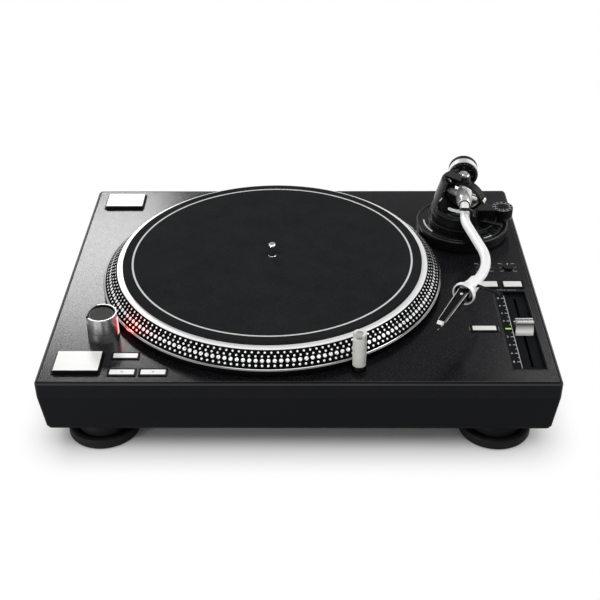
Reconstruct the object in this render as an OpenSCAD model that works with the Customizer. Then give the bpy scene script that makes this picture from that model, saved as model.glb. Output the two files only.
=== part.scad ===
// Direct-drive turntable with an S-shaped tonearm.
// The origin is on the floor, under the middle of the deck; +Y points to the back.

/* [Deck] */
// Width of the deck, left to right
deck_w = 458; // [450:1:480]
// Depth of the deck, front to back
deck_d = 352; // [350:1:370]
// Corner radius of the deck in plan
corner_r = 4; // [3:0.5:8]
// Height of the upper frame
frame_h = 16; // [16:1:22]
// Wall of the upper frame
frame_wall = 4; // [3.5:0.5:6]
// Width of the rounded rim round the top panel
rim_w = 2.8; // [2.4:0.2:3.4]
// Bevel along the rim
rim_bevel = 2; // [0.6:0.2:2.2]
// Thickness of the top panel
plate_t = 2; // [1.5:0.5:3]
// Thickness of the frame's web under the top panel
web_t = 3; // [2:0.5:4]
// Height of the heavy lower base
base_h = 39; // [36:1:50]
// How far the base draws in on each side, top to bottom
base_taper = 3.4; // [0:0.2:6]
// Radius of the base's lower edge
base_edge = 4; // [2:0.5:6]
// Wall of the lower base
base_wall = 10; // [8:0.5:11]
// Thickness of the bottom cover plate
cover_t = 2; // [1.5:0.5:3]

/* [Feet] */
// Height of the feet under the base
foot_h = 24; // [23:1:34]
// Radius of a foot's outer cup
foot_r = 33; // [28:1:34]
// Height of a foot's outer cup
foot_cup_h = 11; // [8:0.5:14]
// Radius of a foot's neck
foot_neck_r = 25; // [18:1:26]
// Radius of a foot's threaded stud
stud_r = 4; // [3:0.5:6]
// Length of the stud inside the base
stud_len = 22; // [15:1:26]
// Foot centre from the deck's side
foot_in_x = 49; // [46:1:60]
// Foot centre from the deck's front or back
foot_in_y = 35.5; // [35:0.5:50]

/* [Platter] */
// Spindle from the middle of the deck, left to right
spindle_x = -27; // [-30:1:-24]
// Spindle from the middle of the deck, front to back
spindle_y = -2.5; // [-4:0.5:0]
// Outer radius of the platter's lower rim
platter_r = 166; // [163:0.5:167]
// How far the platter's upper rim lies inside its lower rim
platter_draw = 14.4; // [13:0.2:17]
// Height of the playing surface above the deck
platter_h = 21; // [20:0.5:24]
// Height of the lower rim above the deck
lower_rim_h = 7.5; // [6:0.5:9]
// Gap under the platter's skirt
platter_gap = 1.2; // [0.8:0.1:2]
// Thickness of the platter's disc
platter_t = 6; // [5:0.5:8]
// Radius of the slipmat
mat_r = 146.2; // [140:0.2:147]
// Thickness of the slipmat
mat_t = 2.8; // [2:0.1:3.2]
// Radius of the spindle's pin
spindle_r = 3.6; // [3.5:0.05:3.75]
// Height of the spindle's tip above the deck
spindle_tip = 37; // [36:0.5:40]
// Radius of the spindle's shaft in its bearing
shaft_r = 5; // [4.5:0.1:6]
// Radius of the motor opening in the deck
motor_r = 48; // [46:1:52]

/* [Keys] */
// Width of a start key
start_w = 40.2; // [36:0.2:42]
// Depth of a start key
start_d = 28.5; // [26:0.5:32]
// How far a start key stands above the deck
start_rise = 3.5; // [3:0.5:6]
// Start keys from the left side
start_in_x = 34.1; // [32:0.1:38]
// Front start key from the front
start_in_front = 28.5; // [24:0.5:30]
// Rear start key from the back
start_in_rear = 28.2; // [26:0.1:34]
// Width of a small key
key_w = 22.3; // [18:0.1:23]
// Depth of a small key
key_d = 7.3; // [6:0.1:8]
// How far the small keys stand above the deck
key_rise = 1; // [0.8:0.1:2]
// Left speed key from the left side
speed_in_x = 74.7; // [72:0.1:78]
// Speed keys from the front
speed_in_y = 15.6; // [14:0.1:18]
// Distance between the speed keys
speed_pitch = 27.5; // [27:0.1:30]
// Reverse key behind the speed keys
reverse_back = 23.9; // [20:0.1:28]
// Reset key from the right side
reset_in_x = 58.1; // [56:0.1:60]
// Reset key from the front
reset_in_y = 82; // [76:0.5:90]
// Width of a pitch-range key
range_w = 18.3; // [16:0.1:19]
// Depth of a pitch-range key
range_d = 10; // [8:0.5:11]
// Right pitch-range key from the right side
range_in_x = 21; // [19:0.5:23]
// Distance between the pitch-range keys
range_pitch = 23.6; // [22:0.1:25]
// Pitch-range keys from the middle of the deck towards the front
range_y = -19.6; // [-22:0.2:-18]
// Width of the black frame round a key
key_border = 1.7; // [1.2:0.1:2.2]
// Running gap between a key and its frame
key_gap = 0.3; // [0.25:0.05:0.4]

/* [Pitch fader] */
// Width of the fader's trim plate
pitch_w = 32.6; // [30:0.2:34]
// Length of the fader's trim plate
pitch_l = 124.2; // [118:0.2:128]
// Trim plate's centre from the right side
pitch_in_x = 26.3; // [24:0.1:28]
// Trim plate's centre, front to back
pitch_y = -93.9; // [-98:0.1:-92]
// Fader travel from the middle to either end
fader_travel = 50.3; // [46:0.1:52]
// Slot from the trim plate's centre
slot_off = 4.1; // [3:0.1:5]
// Width of the fader's cap
fader_w = 16; // [14:0.5:17.5]
// Depth of the fader's cap at its foot
fader_d = 14; // [10:0.5:16]
// Height of the fader's cap above the deck
fader_rise = 10; // [8:0.5:14]
// Radius of the small trim knobs
trim_r = 5.7; // [4.5:0.1:6.5]
// Trim knobs from the middle of the deck towards the back
trim_y = 12; // [9:0.5:14]

/* [Power and light] */
// Radius of the strobe housing
strobe_r = 14; // [12:0.2:14.2]
// Height of the strobe housing
strobe_h = 25; // [20:0.5:30]
// Direction from the spindle to the strobe housing, in degrees
strobe_deg = 213.7; // [212:0.1:215]
// Gap between the strobe housing and the platter
strobe_gap = 2.8; // [2.6:0.1:4]
// Radius of the target lamp
lamp_r = 6; // [5:0.2:7]
// Height of the raised target lamp
lamp_h = 39; // [36:0.5:42]
// Radius of the lamp's rod
lamp_rod_r = 4.7; // [3.6:0.1:4.8]
// Target lamp from the front
lamp_in_y = 20.6; // [18:0.1:24]
// Gap between the target lamp and the platter
lamp_gap = 0.7; // [0.6:0.1:1.5]
// How far the target lamp goes down
lamp_travel = 33; // [28:1:34]

/* [Tonearm] */
// Direction from the spindle to the tonearm's pivot, in degrees
pivot_deg = 24; // [23.5:0.1:25]
// Gap between the height ring and the platter
pivot_gap = 1.6; // [1.2:0.1:2.4]
// Height of the arm tube above the deck
arm_h = 43; // [42:0.5:46]
// Angle of the parked arm, in degrees
park_deg = 5.5; // [4:0.5:8]
// Radius of the arm tube
tube_r = 4.6; // [4:0.1:5]
// Wall of the arm tube
tube_wall = 0.8; // [0.6:0.1:1.2]
// Straight stretch in front of the pivot
tube_a = 48; // [47.9:0.1:50]
// First bend's radius
bend_1_r = 60; // [50:1:70]
// First bend's angle
bend_1_deg = 16.5; // [15:0.5:18]
// Straight stretch between the bends
tube_b = 43; // [38:1:46]
// Second bend's radius
bend_2_r = 75; // [70:1:80]
// Headshell angle against the rear of the arm
offset_deg = 28; // [26:0.5:30]
// Radius of the height ring
ring_r = 47.5; // [47:0.5:49]
// Height of the height ring
ring_h = 12.8; // [12:0.2:13]
// Travel of the height setting
height_travel = 6; // [4:0.5:6]
// Radius of the column's stem
stem_r = 20; // [18:0.5:21]
// Radius of the gimbal's journal
journal_r = 5; // [4:0.5:6]
// Radius of the counterweight
weight_r = 15.5; // [13:0.5:16]
// Length of the counterweight
weight_l = 15.5; // [13:0.5:18]
// Counterweight behind the pivot
weight_back = 45; // [42:0.5:48]
// Radius of the anti-skating dial
skate_r = 11; // [9:0.5:11.5]
// Radius of the trunnion pins
pin_r = 1.5; // [1.2:0.1:2]

/* [Back] */
// Width of the jack panel
panel_w = 112; // [104:1:120]
// Height of the jack panel
panel_h = 24; // [22:0.5:25]
// Jack panel from the right side
panel_in_x = 134; // [129:1:139]
// Mains inlet from the left side
inlet_in_x = 119; // [109:1:139]

/* [Hidden] */
$fn = 96;
// Overlap that keeps a cut's end clear of a face
eps = 0.1;
// Radial clearance of a running fit
run = 0.05;
// Gap between faces that pass each other
clear = 0.3;
// Height of the deck's top
deck_z = foot_h + base_h + frame_h;
// Height of the joint between frame and base
split_z = foot_h + base_h;
// Underside of the top panel
plate_z = deck_z - plate_t;
// Underside of the frame's web
web_z = plate_z - web_t;
// Gap between the rim and the top panel
rim_gap = 0.5;
// Height of the circuit boards under the controls
board_t = 1.6;
board_z = web_z - 9;
switch_h = 5.5;
// Travel of the keys
key_travel = 0.8;
// Underside of the keys' stems
key_foot_z = board_z + board_t + switch_h + key_travel + 0.1;
// Half sizes, for the edges that the controls are measured from
half_w = deck_w / 2;
half_d = deck_d / 2;
// Places of the keys, [x, y, width, depth, rise]
start_x = -half_w + start_in_x;
speed_x = -half_w + speed_in_x;
speed_y = -half_d + speed_in_y;
range_x = half_w - range_in_x;
START_FRONT = [start_x, -half_d + start_in_front, start_w, start_d, start_rise];
START_REAR = [start_x, half_d - start_in_rear, start_w, start_d, start_rise];
KEY_33 = [speed_x, speed_y, key_w, key_d, key_rise];
KEY_45 = [speed_x + speed_pitch, speed_y, key_w, key_d, key_rise];
KEY_REVERSE = [speed_x, speed_y + reverse_back, key_w, key_d, key_rise];
KEY_RESET = [half_w - reset_in_x, -half_d + reset_in_y, key_w, key_d, key_rise];
KEY_RANGE_A = [range_x - range_pitch, range_y, range_w, range_d, key_rise];
KEY_RANGE_B = [range_x, range_y, range_w, range_d, key_rise];
KEYS = [START_FRONT, START_REAR, KEY_33, KEY_45, KEY_REVERSE, KEY_RESET, KEY_RANGE_A, KEY_RANGE_B];
// Depth of a key frame's neck under the deck
frame_neck = plate_t + web_t;
frame_wall_k = 1;
// Pitch unit
pitch_x = half_w - pitch_in_x;
slot_x = pitch_x + slot_off;
slot_w = 2.4;
stem_w = 1.6;
stem_d = 6;
tray_depth = 2.7;
tray_margin = 1.2;
fader_y = pitch_y - 0.9;
// Trim knobs stand over the pitch-range keys
TRIMS = [[range_x - range_pitch, trim_y], [range_x, trim_y]];
trim_rise = 2;
trim_hole = trim_r + 0.5;
platter_top_r = platter_r - platter_draw;
// Strobe housing
strobe_dist = platter_r + strobe_r + strobe_gap;
strobe_x = spindle_x + strobe_dist * cos(strobe_deg);
strobe_y = spindle_y + strobe_dist * sin(strobe_deg);
strobe_wall = 1.8;
strobe_foot_h = 9;
strobe_neck_r = strobe_r - 3;
knob_drop = 1.5;
// Ramp that is cut into the housing's upper edge, from its back end round to its front end
notch_deg = 116;
notch_span = 100;
notch_drop = 6.4;
// Direction of the strobe's window
lens_deg = -5;
// Target lamp
lamp_dist = platter_r + lamp_r + lamp_gap;
lamp_y = -half_d + lamp_in_y;
lamp_x = spindle_x + sqrt(max(0, pow(lamp_dist, 2) - pow(lamp_y - spindle_y, 2)));
sleeve_r = lamp_r + clear;
sleeve_wall = 1.7;
lamp_neck_h = 5.5;
piston_drop = 12;
sleeve_depth = piston_drop + lamp_travel + 2;
// Motor
stator_r = motor_r - 8.5;
magnet_t = 5;
magnet_gap = 1.5;
magnet_r = stator_r + magnet_gap + magnet_t;
motor_flange_r = motor_r + 8;
motor_flange_t = 3;
sleeve_r_out = shaft_r + 5;
thrust_z = foot_h + cover_t + 12;
poles = 12;
// The pin is a little thicker below the record
pin_base_r = spindle_r + 0.2;
record_z = platter_h + mat_t + 0.3;
// Tonearm base
pivot_dist = platter_r + ring_r + pivot_gap;
pivot_x = spindle_x + pivot_dist * cos(pivot_deg);
pivot_y = spindle_y + pivot_dist * sin(pivot_deg);
guide_wall = 5.3;
guide_r = stem_r + run + guide_wall;
guide_depth = 15.7;
base_flange_t = 1.2;
flange_r = 35.5;
flange_z = ring_h + 0.1;
flange_t = 6;
floor_z = flange_z + flange_t;
bracket_top = floor_z - 1.3;
wall_top = 33;
wall_in = 27.3;
journal_end = 4;
// Gimbal ring, in the plane of the trunnions
yoke_rise = 15.5;
yoke_half = 22.5;
yoke_t = 3;
yoke_w = 9;
yoke_k = (yoke_half * yoke_half - yoke_rise * yoke_rise) / (2 * yoke_rise);
yoke_r = yoke_rise + yoke_k;
// Tower and pivot cap
tower_bottom = wall_top;
tower_knee = 38;
tower_top = arm_h + 18;
tower_r = 31;
tower_top_r = 24.5;
tower_t = 2.6;
boss_r = 4.8;
boss_z = arm_h + yoke_rise + clear;
boss_top = boss_z + 6.2;
cap_pin_r = 2;
// Arm hub and its trunnions
hub_r = 8.3;
hub_front = 21.7;
hub_back = 8;
trunnion_r = 3.6;
trunnion_l = 16.6;
// Rest post and clamp, at this distance in front of the pivot
rest_v = 45.9;
rest_down = 1.6;
rest_up = 2.7;
rest_side = 0.4;
rest_w = 4;
clamp_t = 1.8;
clamp_x = tube_r + rest_side + 2.2;
clamp_z = 0.8;
clamp_r = 1.8;
// Lifter
lift_deg = 249;
lift_dist = 22;
lift_r = 7.6;
lift_top = wall_top + 1.2;
lift_post_r = 2;
lift_bar_r = 24;
lift_bar_w = 2.2;
lift_bar_t = 2.2;
lift_bar_top = arm_h - tube_r - 1.2;
lift_travel = 3;
// Anti-skating block
skate_x = 42;
skate_y = 4.5;
skate_h = 9;
skate_z = 17.5;
skate_top = 26.2;
skate_block_x = 15.5;
skate_block_y = -3;
skate_block_w = 13;
skate_pin_r = 2.5;
// Cue lever, seen from the tonearm's pivot
lever_x = 21;
lever_y = -13.5;
lever_deg = -30;
lever_l = 17;
lever_w = 4;
lever_z = 18.6;
lever_pin_r = 1;
plate_top = 15;
// Arm head, measured along the headshell's axis from the end of the second bend
collar_start = 3;
collar_end = 21.2;
tube_end = 20;
collar_r = 6.4;
cup_r = 10.7;
cup_in = 9.3;
cup_start = 21.5;
cup_end = 28.5;
plug_r = 4;
body_start = 27;
body_end = 69;
nose_end = 74;
tip_s = 74.5;
tip_drop = 11.5;
// Counterweight
shaft_end = 64;
rear_r = 4;
dial_t = 2.7;
dial_r = 14.8;
dial_boss_r = 6;
// Back of the deck
panel_x = half_w - panel_in_x;
inlet_x = -half_w + inlet_in_x;
panel_z = foot_h + base_h / 2;
panel_depth = 8;
panel_t = 2;
back_y = half_d - base_taper;
// Transformer's core and coil, and its place from the mains inlet
trafo_w = 58;
trafo_core_d = 30;
trafo_h = 26;
trafo_coil_w = 34;
trafo_coil_d = 44;
trafo_aside = 12;
trafo_ahead = 70;
inlet_w = 31;
inlet_h = 24;
inlet_depth = 22;
switch_x = panel_x + 20;
ground_x = panel_x + 42;
jack_r = 4.2;
JACKS = [panel_x - 46, panel_x - 30, panel_x - 14, panel_x + 2];
FOOT_X = half_w - foot_in_x;
FOOT_Y = half_d - foot_in_y;
// Base screws beyond the corner blocks' inner edge
screw_out = 8;
// Corner blocks of the base that hold the feet
block = foot_r + 2;
SCREWS = [for (sx = [-1, 1], sy = [-1, 1]) [sx * (FOOT_X - foot_r + 3), sy * (half_d - base_wall - 13)]];

// Direction of travel along the arm for a heading, 0 towards the front and positive to the right
function ahead(h) = [sin(h), -cos(h)];
function aside(h) = [cos(h), sin(h)];
// Ends of the tube's stretches, seen from the pivot in the arm's own frame
turn_end = bend_1_deg;
p_a = tube_a * ahead(0);
c_1 = p_a + bend_1_r * aside(0);
p_b = c_1 - bend_1_r * aside(turn_end);
p_c = p_b + tube_b * ahead(turn_end);
c_2 = p_c - bend_2_r * aside(turn_end);
p_d = c_2 + bend_2_r * aside(-offset_deg);

// Plan of a rounded rectangle
module round_rect(w, d, r) {
    square([w - 2 * r, d], center = true);
    square([w, d - 2 * r], center = true);
    for (sx = [-1, 1], sy = [-1, 1])
        translate([sx * (w / 2 - r), sy * (d / 2 - r)]) circle(r, $fn = 48);
}

// Rounded slab with its foot at z
module slab(w, d, r, z, h) {
    translate([0, 0, z]) linear_extrude(h) round_rect(w, d, r);
}

// Box with its middle at x, y and its foot at z
module block_at(x, y, z, w, d, h) {
    translate([x - w / 2, y - d / 2, z]) cube([w, d, h]);
}

// Cylinder with its foot at z
module rod(r, z, h) {
    translate([0, 0, z]) cylinder(r = r, h = h);
}

// Frames of reference
module at_spindle() {
    translate([spindle_x, spindle_y, deck_z]) children();
}
module at_pivot() {
    translate([pivot_x, pivot_y, deck_z]) children();
}
// Arm frame: the tube's axis lies at z 0 and the front is towards -y
module arm_frame() {
    translate([pivot_x, pivot_y, deck_z + arm_h]) rotate([0, 0, -park_deg]) children();
}
// Head frame: +z runs forward along the headshell's axis, +x to its right, +y up
module head_frame() {
    arm_frame() translate([p_d[0], p_d[1], 0]) rotate([0, 0, -offset_deg]) rotate([90, 0, 0]) children();
}
// Trunnion frame: the trunnion's axis is x
module yoke_frame() {
    translate([pivot_x, pivot_y, deck_z + arm_h]) rotate([0, 0, -park_deg - offset_deg]) children();
}

// Casing

module key_holes(grow, z, h) {
    for (k = KEYS)
        translate([k[0], k[1], 0])
            slab(k[2] + 2 * grow, k[3] + 2 * grow, 1, z, h);
}

module deck_holes(grow, z, h) {
    neck = key_gap + frame_wall_k + run + grow;
    key_holes(neck, z, h);
    translate([spindle_x, spindle_y, 0]) rod(motor_r + grow, z, h);
    translate([strobe_x, strobe_y, 0]) rod(strobe_neck_r + run + grow, z, h);
    translate([lamp_x, lamp_y, 0]) rod(sleeve_r + sleeve_wall + run + grow, z, h);
    translate([pivot_x, pivot_y, 0]) rod(guide_r + 1 + grow, z, h);
    for (t = TRIMS)
        translate([t[0], t[1], 0]) rod(trim_hole + grow, z, h);
    block_at(pitch_x, pitch_y, z, pitch_w + 2 * (run + grow), pitch_l + 2 * (run + grow), h);
}

module top_shell() {
    color([0.06, 0.06, 0.07]) difference() {
        union() {
            slab(deck_w, deck_d, corner_r, split_z, frame_h - rim_bevel);
            hull() {
                slab(deck_w, deck_d, corner_r, deck_z - rim_bevel, 0.01);
                slab(deck_w - 2 * rim_bevel, deck_d - 2 * rim_bevel, corner_r - rim_bevel, deck_z - 0.01, 0.01);
            }
        }
        slab(deck_w - 2 * frame_wall, deck_d - 2 * frame_wall, 2, split_z - eps, web_z - split_z + eps);
        slab(deck_w - 2 * rim_w, deck_d - 2 * rim_w, corner_r - 1, plate_z, plate_t + eps);
        deck_holes(0.5, web_z - eps, web_t + 2 * eps);
    }
}

module faceplate() {
    edge = rim_w + rim_gap;
    color([0.12, 0.12, 0.13]) difference() {
        slab(deck_w - 2 * edge, deck_d - 2 * edge, corner_r - 1, plate_z, plate_t);
        deck_holes(0, plate_z - eps, plate_t + 2 * eps);
    }
}

module lower_base() {
    foot_w = deck_w - 2 * base_taper;
    foot_d = deck_d - 2 * base_taper;
    flat = base_edge * 0.3;
    bore = stud_r + run;
    color([0.05, 0.05, 0.055]) difference() {
        hull() {
            slab(deck_w, deck_d, corner_r, split_z - 0.5, 0.5);
            slab(foot_w, foot_d, corner_r, foot_h + base_edge, 0.01);
            slab(foot_w - 2 * flat, foot_d - 2 * flat, corner_r, foot_h + flat, 0.01);
            slab(foot_w - 2 * base_edge, foot_d - 2 * base_edge, corner_r, foot_h, 0.01);
        }
        block_at(0, 0, foot_h - eps, deck_w - 2 * base_wall, 2 * (FOOT_Y - block), base_h + 2 * eps);
        block_at(0, 0, foot_h - eps, 2 * (FOOT_X - block), deck_d - 2 * base_wall, base_h + 2 * eps);
        slab(deck_w - 2 * base_wall, deck_d - 2 * base_wall, 3, foot_h - eps, cover_t + eps);
        for (sx = [-1, 1], sy = [-1, 1])
            translate([sx * FOOT_X, sy * FOOT_Y, 0]) rod(bore, foot_h - eps, stud_len + 1);
        for (s = SCREWS)
            translate([s[0] + sign(s[0]) * screw_out, s[1], 0]) rod(2 + run, foot_h, 12);
        block_at(panel_x, half_d, panel_z - panel_h / 2, panel_w, 3 * base_wall, panel_h);
        block_at(inlet_x, half_d, panel_z - inlet_h / 2, inlet_w, 3 * base_wall, inlet_h);
    }
}

module base_plate() {
    w = deck_w - 2 * base_wall - 0.6;
    d = deck_d - 2 * base_wall - 0.6;
    color([0.16, 0.16, 0.17]) difference() {
        slab(w, d, 3, foot_h, cover_t);
        for (sx = [-1, 1], sy = [-1, 1])
            translate([sx * FOOT_X, sy * FOOT_Y, 0]) rod(stud_r + 2, foot_h - eps, cover_t + 2 * eps);
        for (s = SCREWS)
            translate([s[0] + sign(s[0]) * screw_out, s[1], 0]) rod(2.3, foot_h - eps, cover_t + 2 * eps);
    }
}

module base_screws() {
    color([0.3, 0.3, 0.32])
        for (s = SCREWS)
            translate([s[0] + sign(s[0]) * screw_out, s[1], 0]) difference() {
                union() {
                    rod(4, foot_h - 2, 2);
                    rod(2, foot_h - 1, 11);
                }
                block_at(0, 0, foot_h - 2 - eps, 5, 1, 0.8 + eps);
                block_at(0, 0, foot_h - 2 - eps, 1, 5, 0.8 + eps);
            }
}

// Motor

module bearing_housing() {
    color([0.55, 0.56, 0.58]) translate([spindle_x, spindle_y, 0]) difference() {
        union() {
            rod(motor_flange_r, web_z - motor_flange_t, motor_flange_t);
            rod(sleeve_r_out, thrust_z - 3, web_z - thrust_z + 8);
        }
        rod(shaft_r + run, thrust_z, deck_z);
        for (a = [0 : 60 : 300])
            rotate([0, 0, a]) translate([motor_flange_r - 14, 0, 0]) rod(3, web_z - motor_flange_t - eps, 4);
    }
}

module stator() {
    foot = web_z;
    core_h = 8;
    color([0.6, 0.35, 0.2]) translate([spindle_x, spindle_y, foot]) difference() {
        union() {
            rod(sleeve_r_out + 8, 0, core_h);
            for (i = [0 : poles - 1])
                rotate([0, 0, i * 360 / poles]) {
                    translate([sleeve_r_out + 4, -2.5, 1]) cube([stator_r - sleeve_r_out - 5, 5, core_h - 2]);
                    translate([stator_r - 14, -4, 0]) cube([9, 8, core_h]);
                    intersection() {
                        translate([stator_r - 4, -7, 0]) cube([5, 14, core_h]);
                        rod(stator_r, 0, core_h);
                    }
                }
        }
        rod(sleeve_r_out + run, -eps, core_h + 2 * eps);
    }
}

module rotor_magnet() {
    top = deck_z + platter_h - platter_t;
    ring_z = web_z + 1.5;
    color([0.35, 0.35, 0.37]) translate([spindle_x, spindle_y, 0]) difference() {
        union() {
            rod(magnet_r, top - 3, 3);
            rod(magnet_r, ring_z, top - ring_z);
        }
        rod(magnet_r - magnet_t, ring_z - eps, top - 3 - ring_z + eps);
        rod(sleeve_r_out + 6, ring_z, top);
    }
}

module spindle() {
    shoulder = platter_h - platter_t;
    flange_h = 2.4;
    round_h = 2.4;
    color([0.8, 0.8, 0.82]) at_spindle() {
        translate([0, 0, thrust_z + run - deck_z]) cylinder(r = shaft_r, h = deck_z + shoulder - thrust_z - run);
        rod(sleeve_r_out + 4, shoulder - flange_h, flange_h);
        rotate_extrude() difference() {
            polygon([
                [0, shoulder - 1], [pin_base_r, shoulder - 1], [pin_base_r, record_z - 0.2],
                [spindle_r, record_z], [spindle_r, spindle_tip - round_h],
                for (a = [15 : 15 : 75])
                    [spindle_r - 1.6 + 1.6 * cos(a), spindle_tip - round_h + round_h * sin(a)],
                [1.6, spindle_tip], [0, spindle_tip]
            ]);
        }
    }
}

// Platter, turned from a profile of [radius, height above the deck]
module platter() {
    under = platter_h - platter_t;
    r = platter_r;
    t = platter_top_r;
    low = lower_rim_h;
    color([0.5, 0.5, 0.52]) at_spindle() difference() {
        rotate_extrude($fn = 180) polygon([
            [pin_base_r + run, under], [t - 8, under], [r - 8, low + 1], [r - 6, platter_gap],
            [r - 2, platter_gap], [r - 1.4, low - 2.9], [r - 0.3, low - 2.3], [r, low - 2],
            [r, low - 0.5], [r - 0.4, low], [r - 1.5, low + 0.4], [r - 2.1, low + 0.9],
            [t + 1.3, platter_h - 1.8], [t + 0.5, platter_h - 1.1], [t, platter_h - 0.5],
            [t - 0.6, platter_h], [pin_base_r + run, platter_h]
        ]);
        for (a = [0, 180])
            rotate([0, 0, a + 20]) translate([72, 0, under - 1]) cylinder(r = 9, h = platter_t + 2);
    }
}

module slipmat() {
    hole = pin_base_r + 0.4;
    color([0.07, 0.07, 0.07]) at_spindle() rotate_extrude($fn = 180) polygon([
        [hole, platter_h], [mat_r, platter_h], [mat_r, platter_h + mat_t - 0.8],
        [mat_r - 0.25, platter_h + mat_t - 0.25], [mat_r - 0.8, platter_h + mat_t], [hole, platter_h + mat_t]
    ]);
}

// Keys

// A key whose cap ends top_t above the black body
module key(k) {
    body_z = key_foot_z;
    top = deck_z + k[4];
    bevel = 0.4;
    translate([k[0], k[1], 0]) {
        slab(k[2], k[3], 0.6, deck_z - plate_t - web_t + 1, top - bevel - deck_z + plate_t + web_t - 1);
        slab(k[2] - 2 * bevel, k[3] - 2 * bevel, 0.4, top - bevel - 0.1, bevel + 0.1);
        block_at(0, 0, body_z, 4, 4, web_z - body_z + 1.5);
    }
}

module start_front() {
    color("white") key(START_FRONT);
}
module start_rear() {
    color("white") key(START_REAR);
}
module key_33() {
    color("white") key(KEY_33);
}
module key_45() {
    color("white") key(KEY_45);
}
module key_reverse() {
    color("white") key(KEY_REVERSE);
}
module key_reset() {
    color("white") key(KEY_RESET);
}
module key_range_a() {
    color("white") key(KEY_RANGE_A);
}
module key_range_b() {
    color("white") key(KEY_RANGE_B);
}

module key_frames() {
    lip = 0.7;
    color([0.03, 0.03, 0.03])
        for (k = KEYS)
            translate([k[0], k[1], 0]) difference() {
                union() {
                    slab(k[2] + 2 * key_border, k[3] + 2 * key_border, 1.4, deck_z, lip);
                    slab(k[2] + 2 * (key_gap + frame_wall_k), k[3] + 2 * (key_gap + frame_wall_k), 1,
                        deck_z - frame_neck, frame_neck);
                }
                slab(k[2] + 2 * key_gap, k[3] + 2 * key_gap, 0.8, deck_z - frame_neck - eps,
                    frame_neck + lip + 2 * eps);
            }
}

// Board, switches, pots and standoffs under the top panel
module controls_board() {
    left_x = [-half_w + 8, speed_x + speed_pitch + 16];
    left_y = [-half_d + 8, START_FRONT[1] + start_d / 2 + 5];
    right_x = [KEY_RESET[0] - 14, half_w - 6];
    right_y = [pitch_y - pitch_l / 2, trim_y + 14];
    pots_z = board_z + board_t;
    color([0.08, 0.25, 0.12]) {
        for (b = [[left_x, left_y], [right_x, right_y],
                [[start_x - 24, start_x + 24], [START_REAR[1] - 18, START_REAR[1] + 18]]]) {
            translate([b[0][0], b[1][0], board_z]) cube([b[0][1] - b[0][0], b[1][1] - b[1][0], board_t]);
            for (x = [b[0][0] + 3, b[0][1] - 3], y = [b[1][0] + 3, b[1][1] - 3])
                translate([x, y, 0]) rod(2.5, board_z, web_z - board_z);
        }
        for (k = KEYS)
            block_at(k[0], k[1], board_z, 6, 6, board_t + switch_h);
        for (t = TRIMS)
            translate([t[0], t[1], 0]) rod(6, board_z, board_t + 5.4);
        difference() {
            block_at(slot_x, fader_y, pots_z, 10, 2 * fader_travel + 16, 5.5);
            block_at(slot_x, fader_y, pots_z + 1.5, stem_w + 1.4, 2 * fader_travel + 10, 5);
        }
    }
}

module pitch_plate() {
    depth = plate_t + 2;
    tray_w = 20.6;
    color([0.04, 0.04, 0.045]) difference() {
        union() {
            block_at(pitch_x, pitch_y, deck_z - depth, pitch_w, pitch_l, depth + 0.3);
            block_at(pitch_x, pitch_y, deck_z - depth, pitch_w, pitch_l, 1);
        }
        block_at(slot_x, pitch_y, deck_z - tray_depth, tray_w, pitch_l - 2 * tray_margin, tray_depth + 1);
        block_at(slot_x, fader_y, deck_z - depth - eps, slot_w, 2 * fader_travel + stem_d + 2, depth);
    }
}

module pitch_fader() {
    foot = deck_z - tray_depth + 0.4;
    top = deck_z + fader_rise;
    top_d = 7.7;
    stem_z = board_z + board_t + 2.2;
    color([0.75, 0.76, 0.78]) translate([slot_x, fader_y, 0]) {
        difference() {
            translate([-fader_w / 2, 0, 0]) rotate([90, 0, 90]) linear_extrude(fader_w) polygon([
                [-fader_d / 2, foot], [fader_d / 2, foot], [fader_d / 2 - 0.3, foot + 3],
                [top_d / 2 + 0.4, top - 1], [top_d / 2 - 0.3, top], [-top_d / 2 + 0.3, top],
                [-top_d / 2 - 0.4, top - 1], [-fader_d / 2 + 0.3, foot + 3]
            ]);
            block_at(0, 0, top - 0.6, fader_w + 1, 0.9, 1);
        }
        block_at(-fader_w / 2 - 0.9, 0, top - 3, 2.2, 1.6, 1.8);
        block_at(0, 0, stem_z, stem_w, stem_d, foot - stem_z + 0.5);
    }
}

module trim_knob(t) {
    bottom = board_z + board_t + 5.6;
    color([0.05, 0.05, 0.05]) translate([t[0], t[1], 0]) difference() {
        union() {
            rod(trim_r, web_z + 1, deck_z - web_z + trim_rise - 1.4);
            rod(trim_r - 0.4, deck_z, trim_rise);
            rod(3, bottom, web_z - bottom + 2);
        }
        block_at(0, trim_r / 2, deck_z + trim_rise - 0.5, 0.9, trim_r, 1);
    }
}
module trim_knob_a() {
    trim_knob(TRIMS[0]);
}
module trim_knob_b() {
    trim_knob(TRIMS[1]);
}

// Power switch with the strobe lamp

module strobe_housing() {
    turn = notch_deg + notch_span / 2;
    side = strobe_r * sin(notch_span / 2);
    inner = (strobe_r - strobe_wall) * cos(notch_span / 2) - 0.4;
    color([0.55, 0.56, 0.58]) translate([strobe_x, strobe_y, deck_z]) difference() {
        union() {
            rod(strobe_r + 0.4, 0, strobe_foot_h);
            rod(strobe_r, 0, strobe_h);
            rod(strobe_neck_r, -frame_neck, frame_neck + 1);
        }
        rod(strobe_r - strobe_wall, strobe_foot_h, strobe_h);
        rotate([0, 0, turn]) translate([inner, 0, strobe_h]) rotate([90, 0, 90]) linear_extrude(strobe_r) polygon([
            [-side, 1], [-side, 0], [side - 1, -notch_drop], [side, -notch_drop], [side, -0.8], [side + 0.8, 0],
            [side + 0.8, 1]
        ]);
        rotate([0, 0, lens_deg]) translate([strobe_r - 1.2, -3.6, 3]) cube([6, 7.2, 17]);
    }
}

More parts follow.
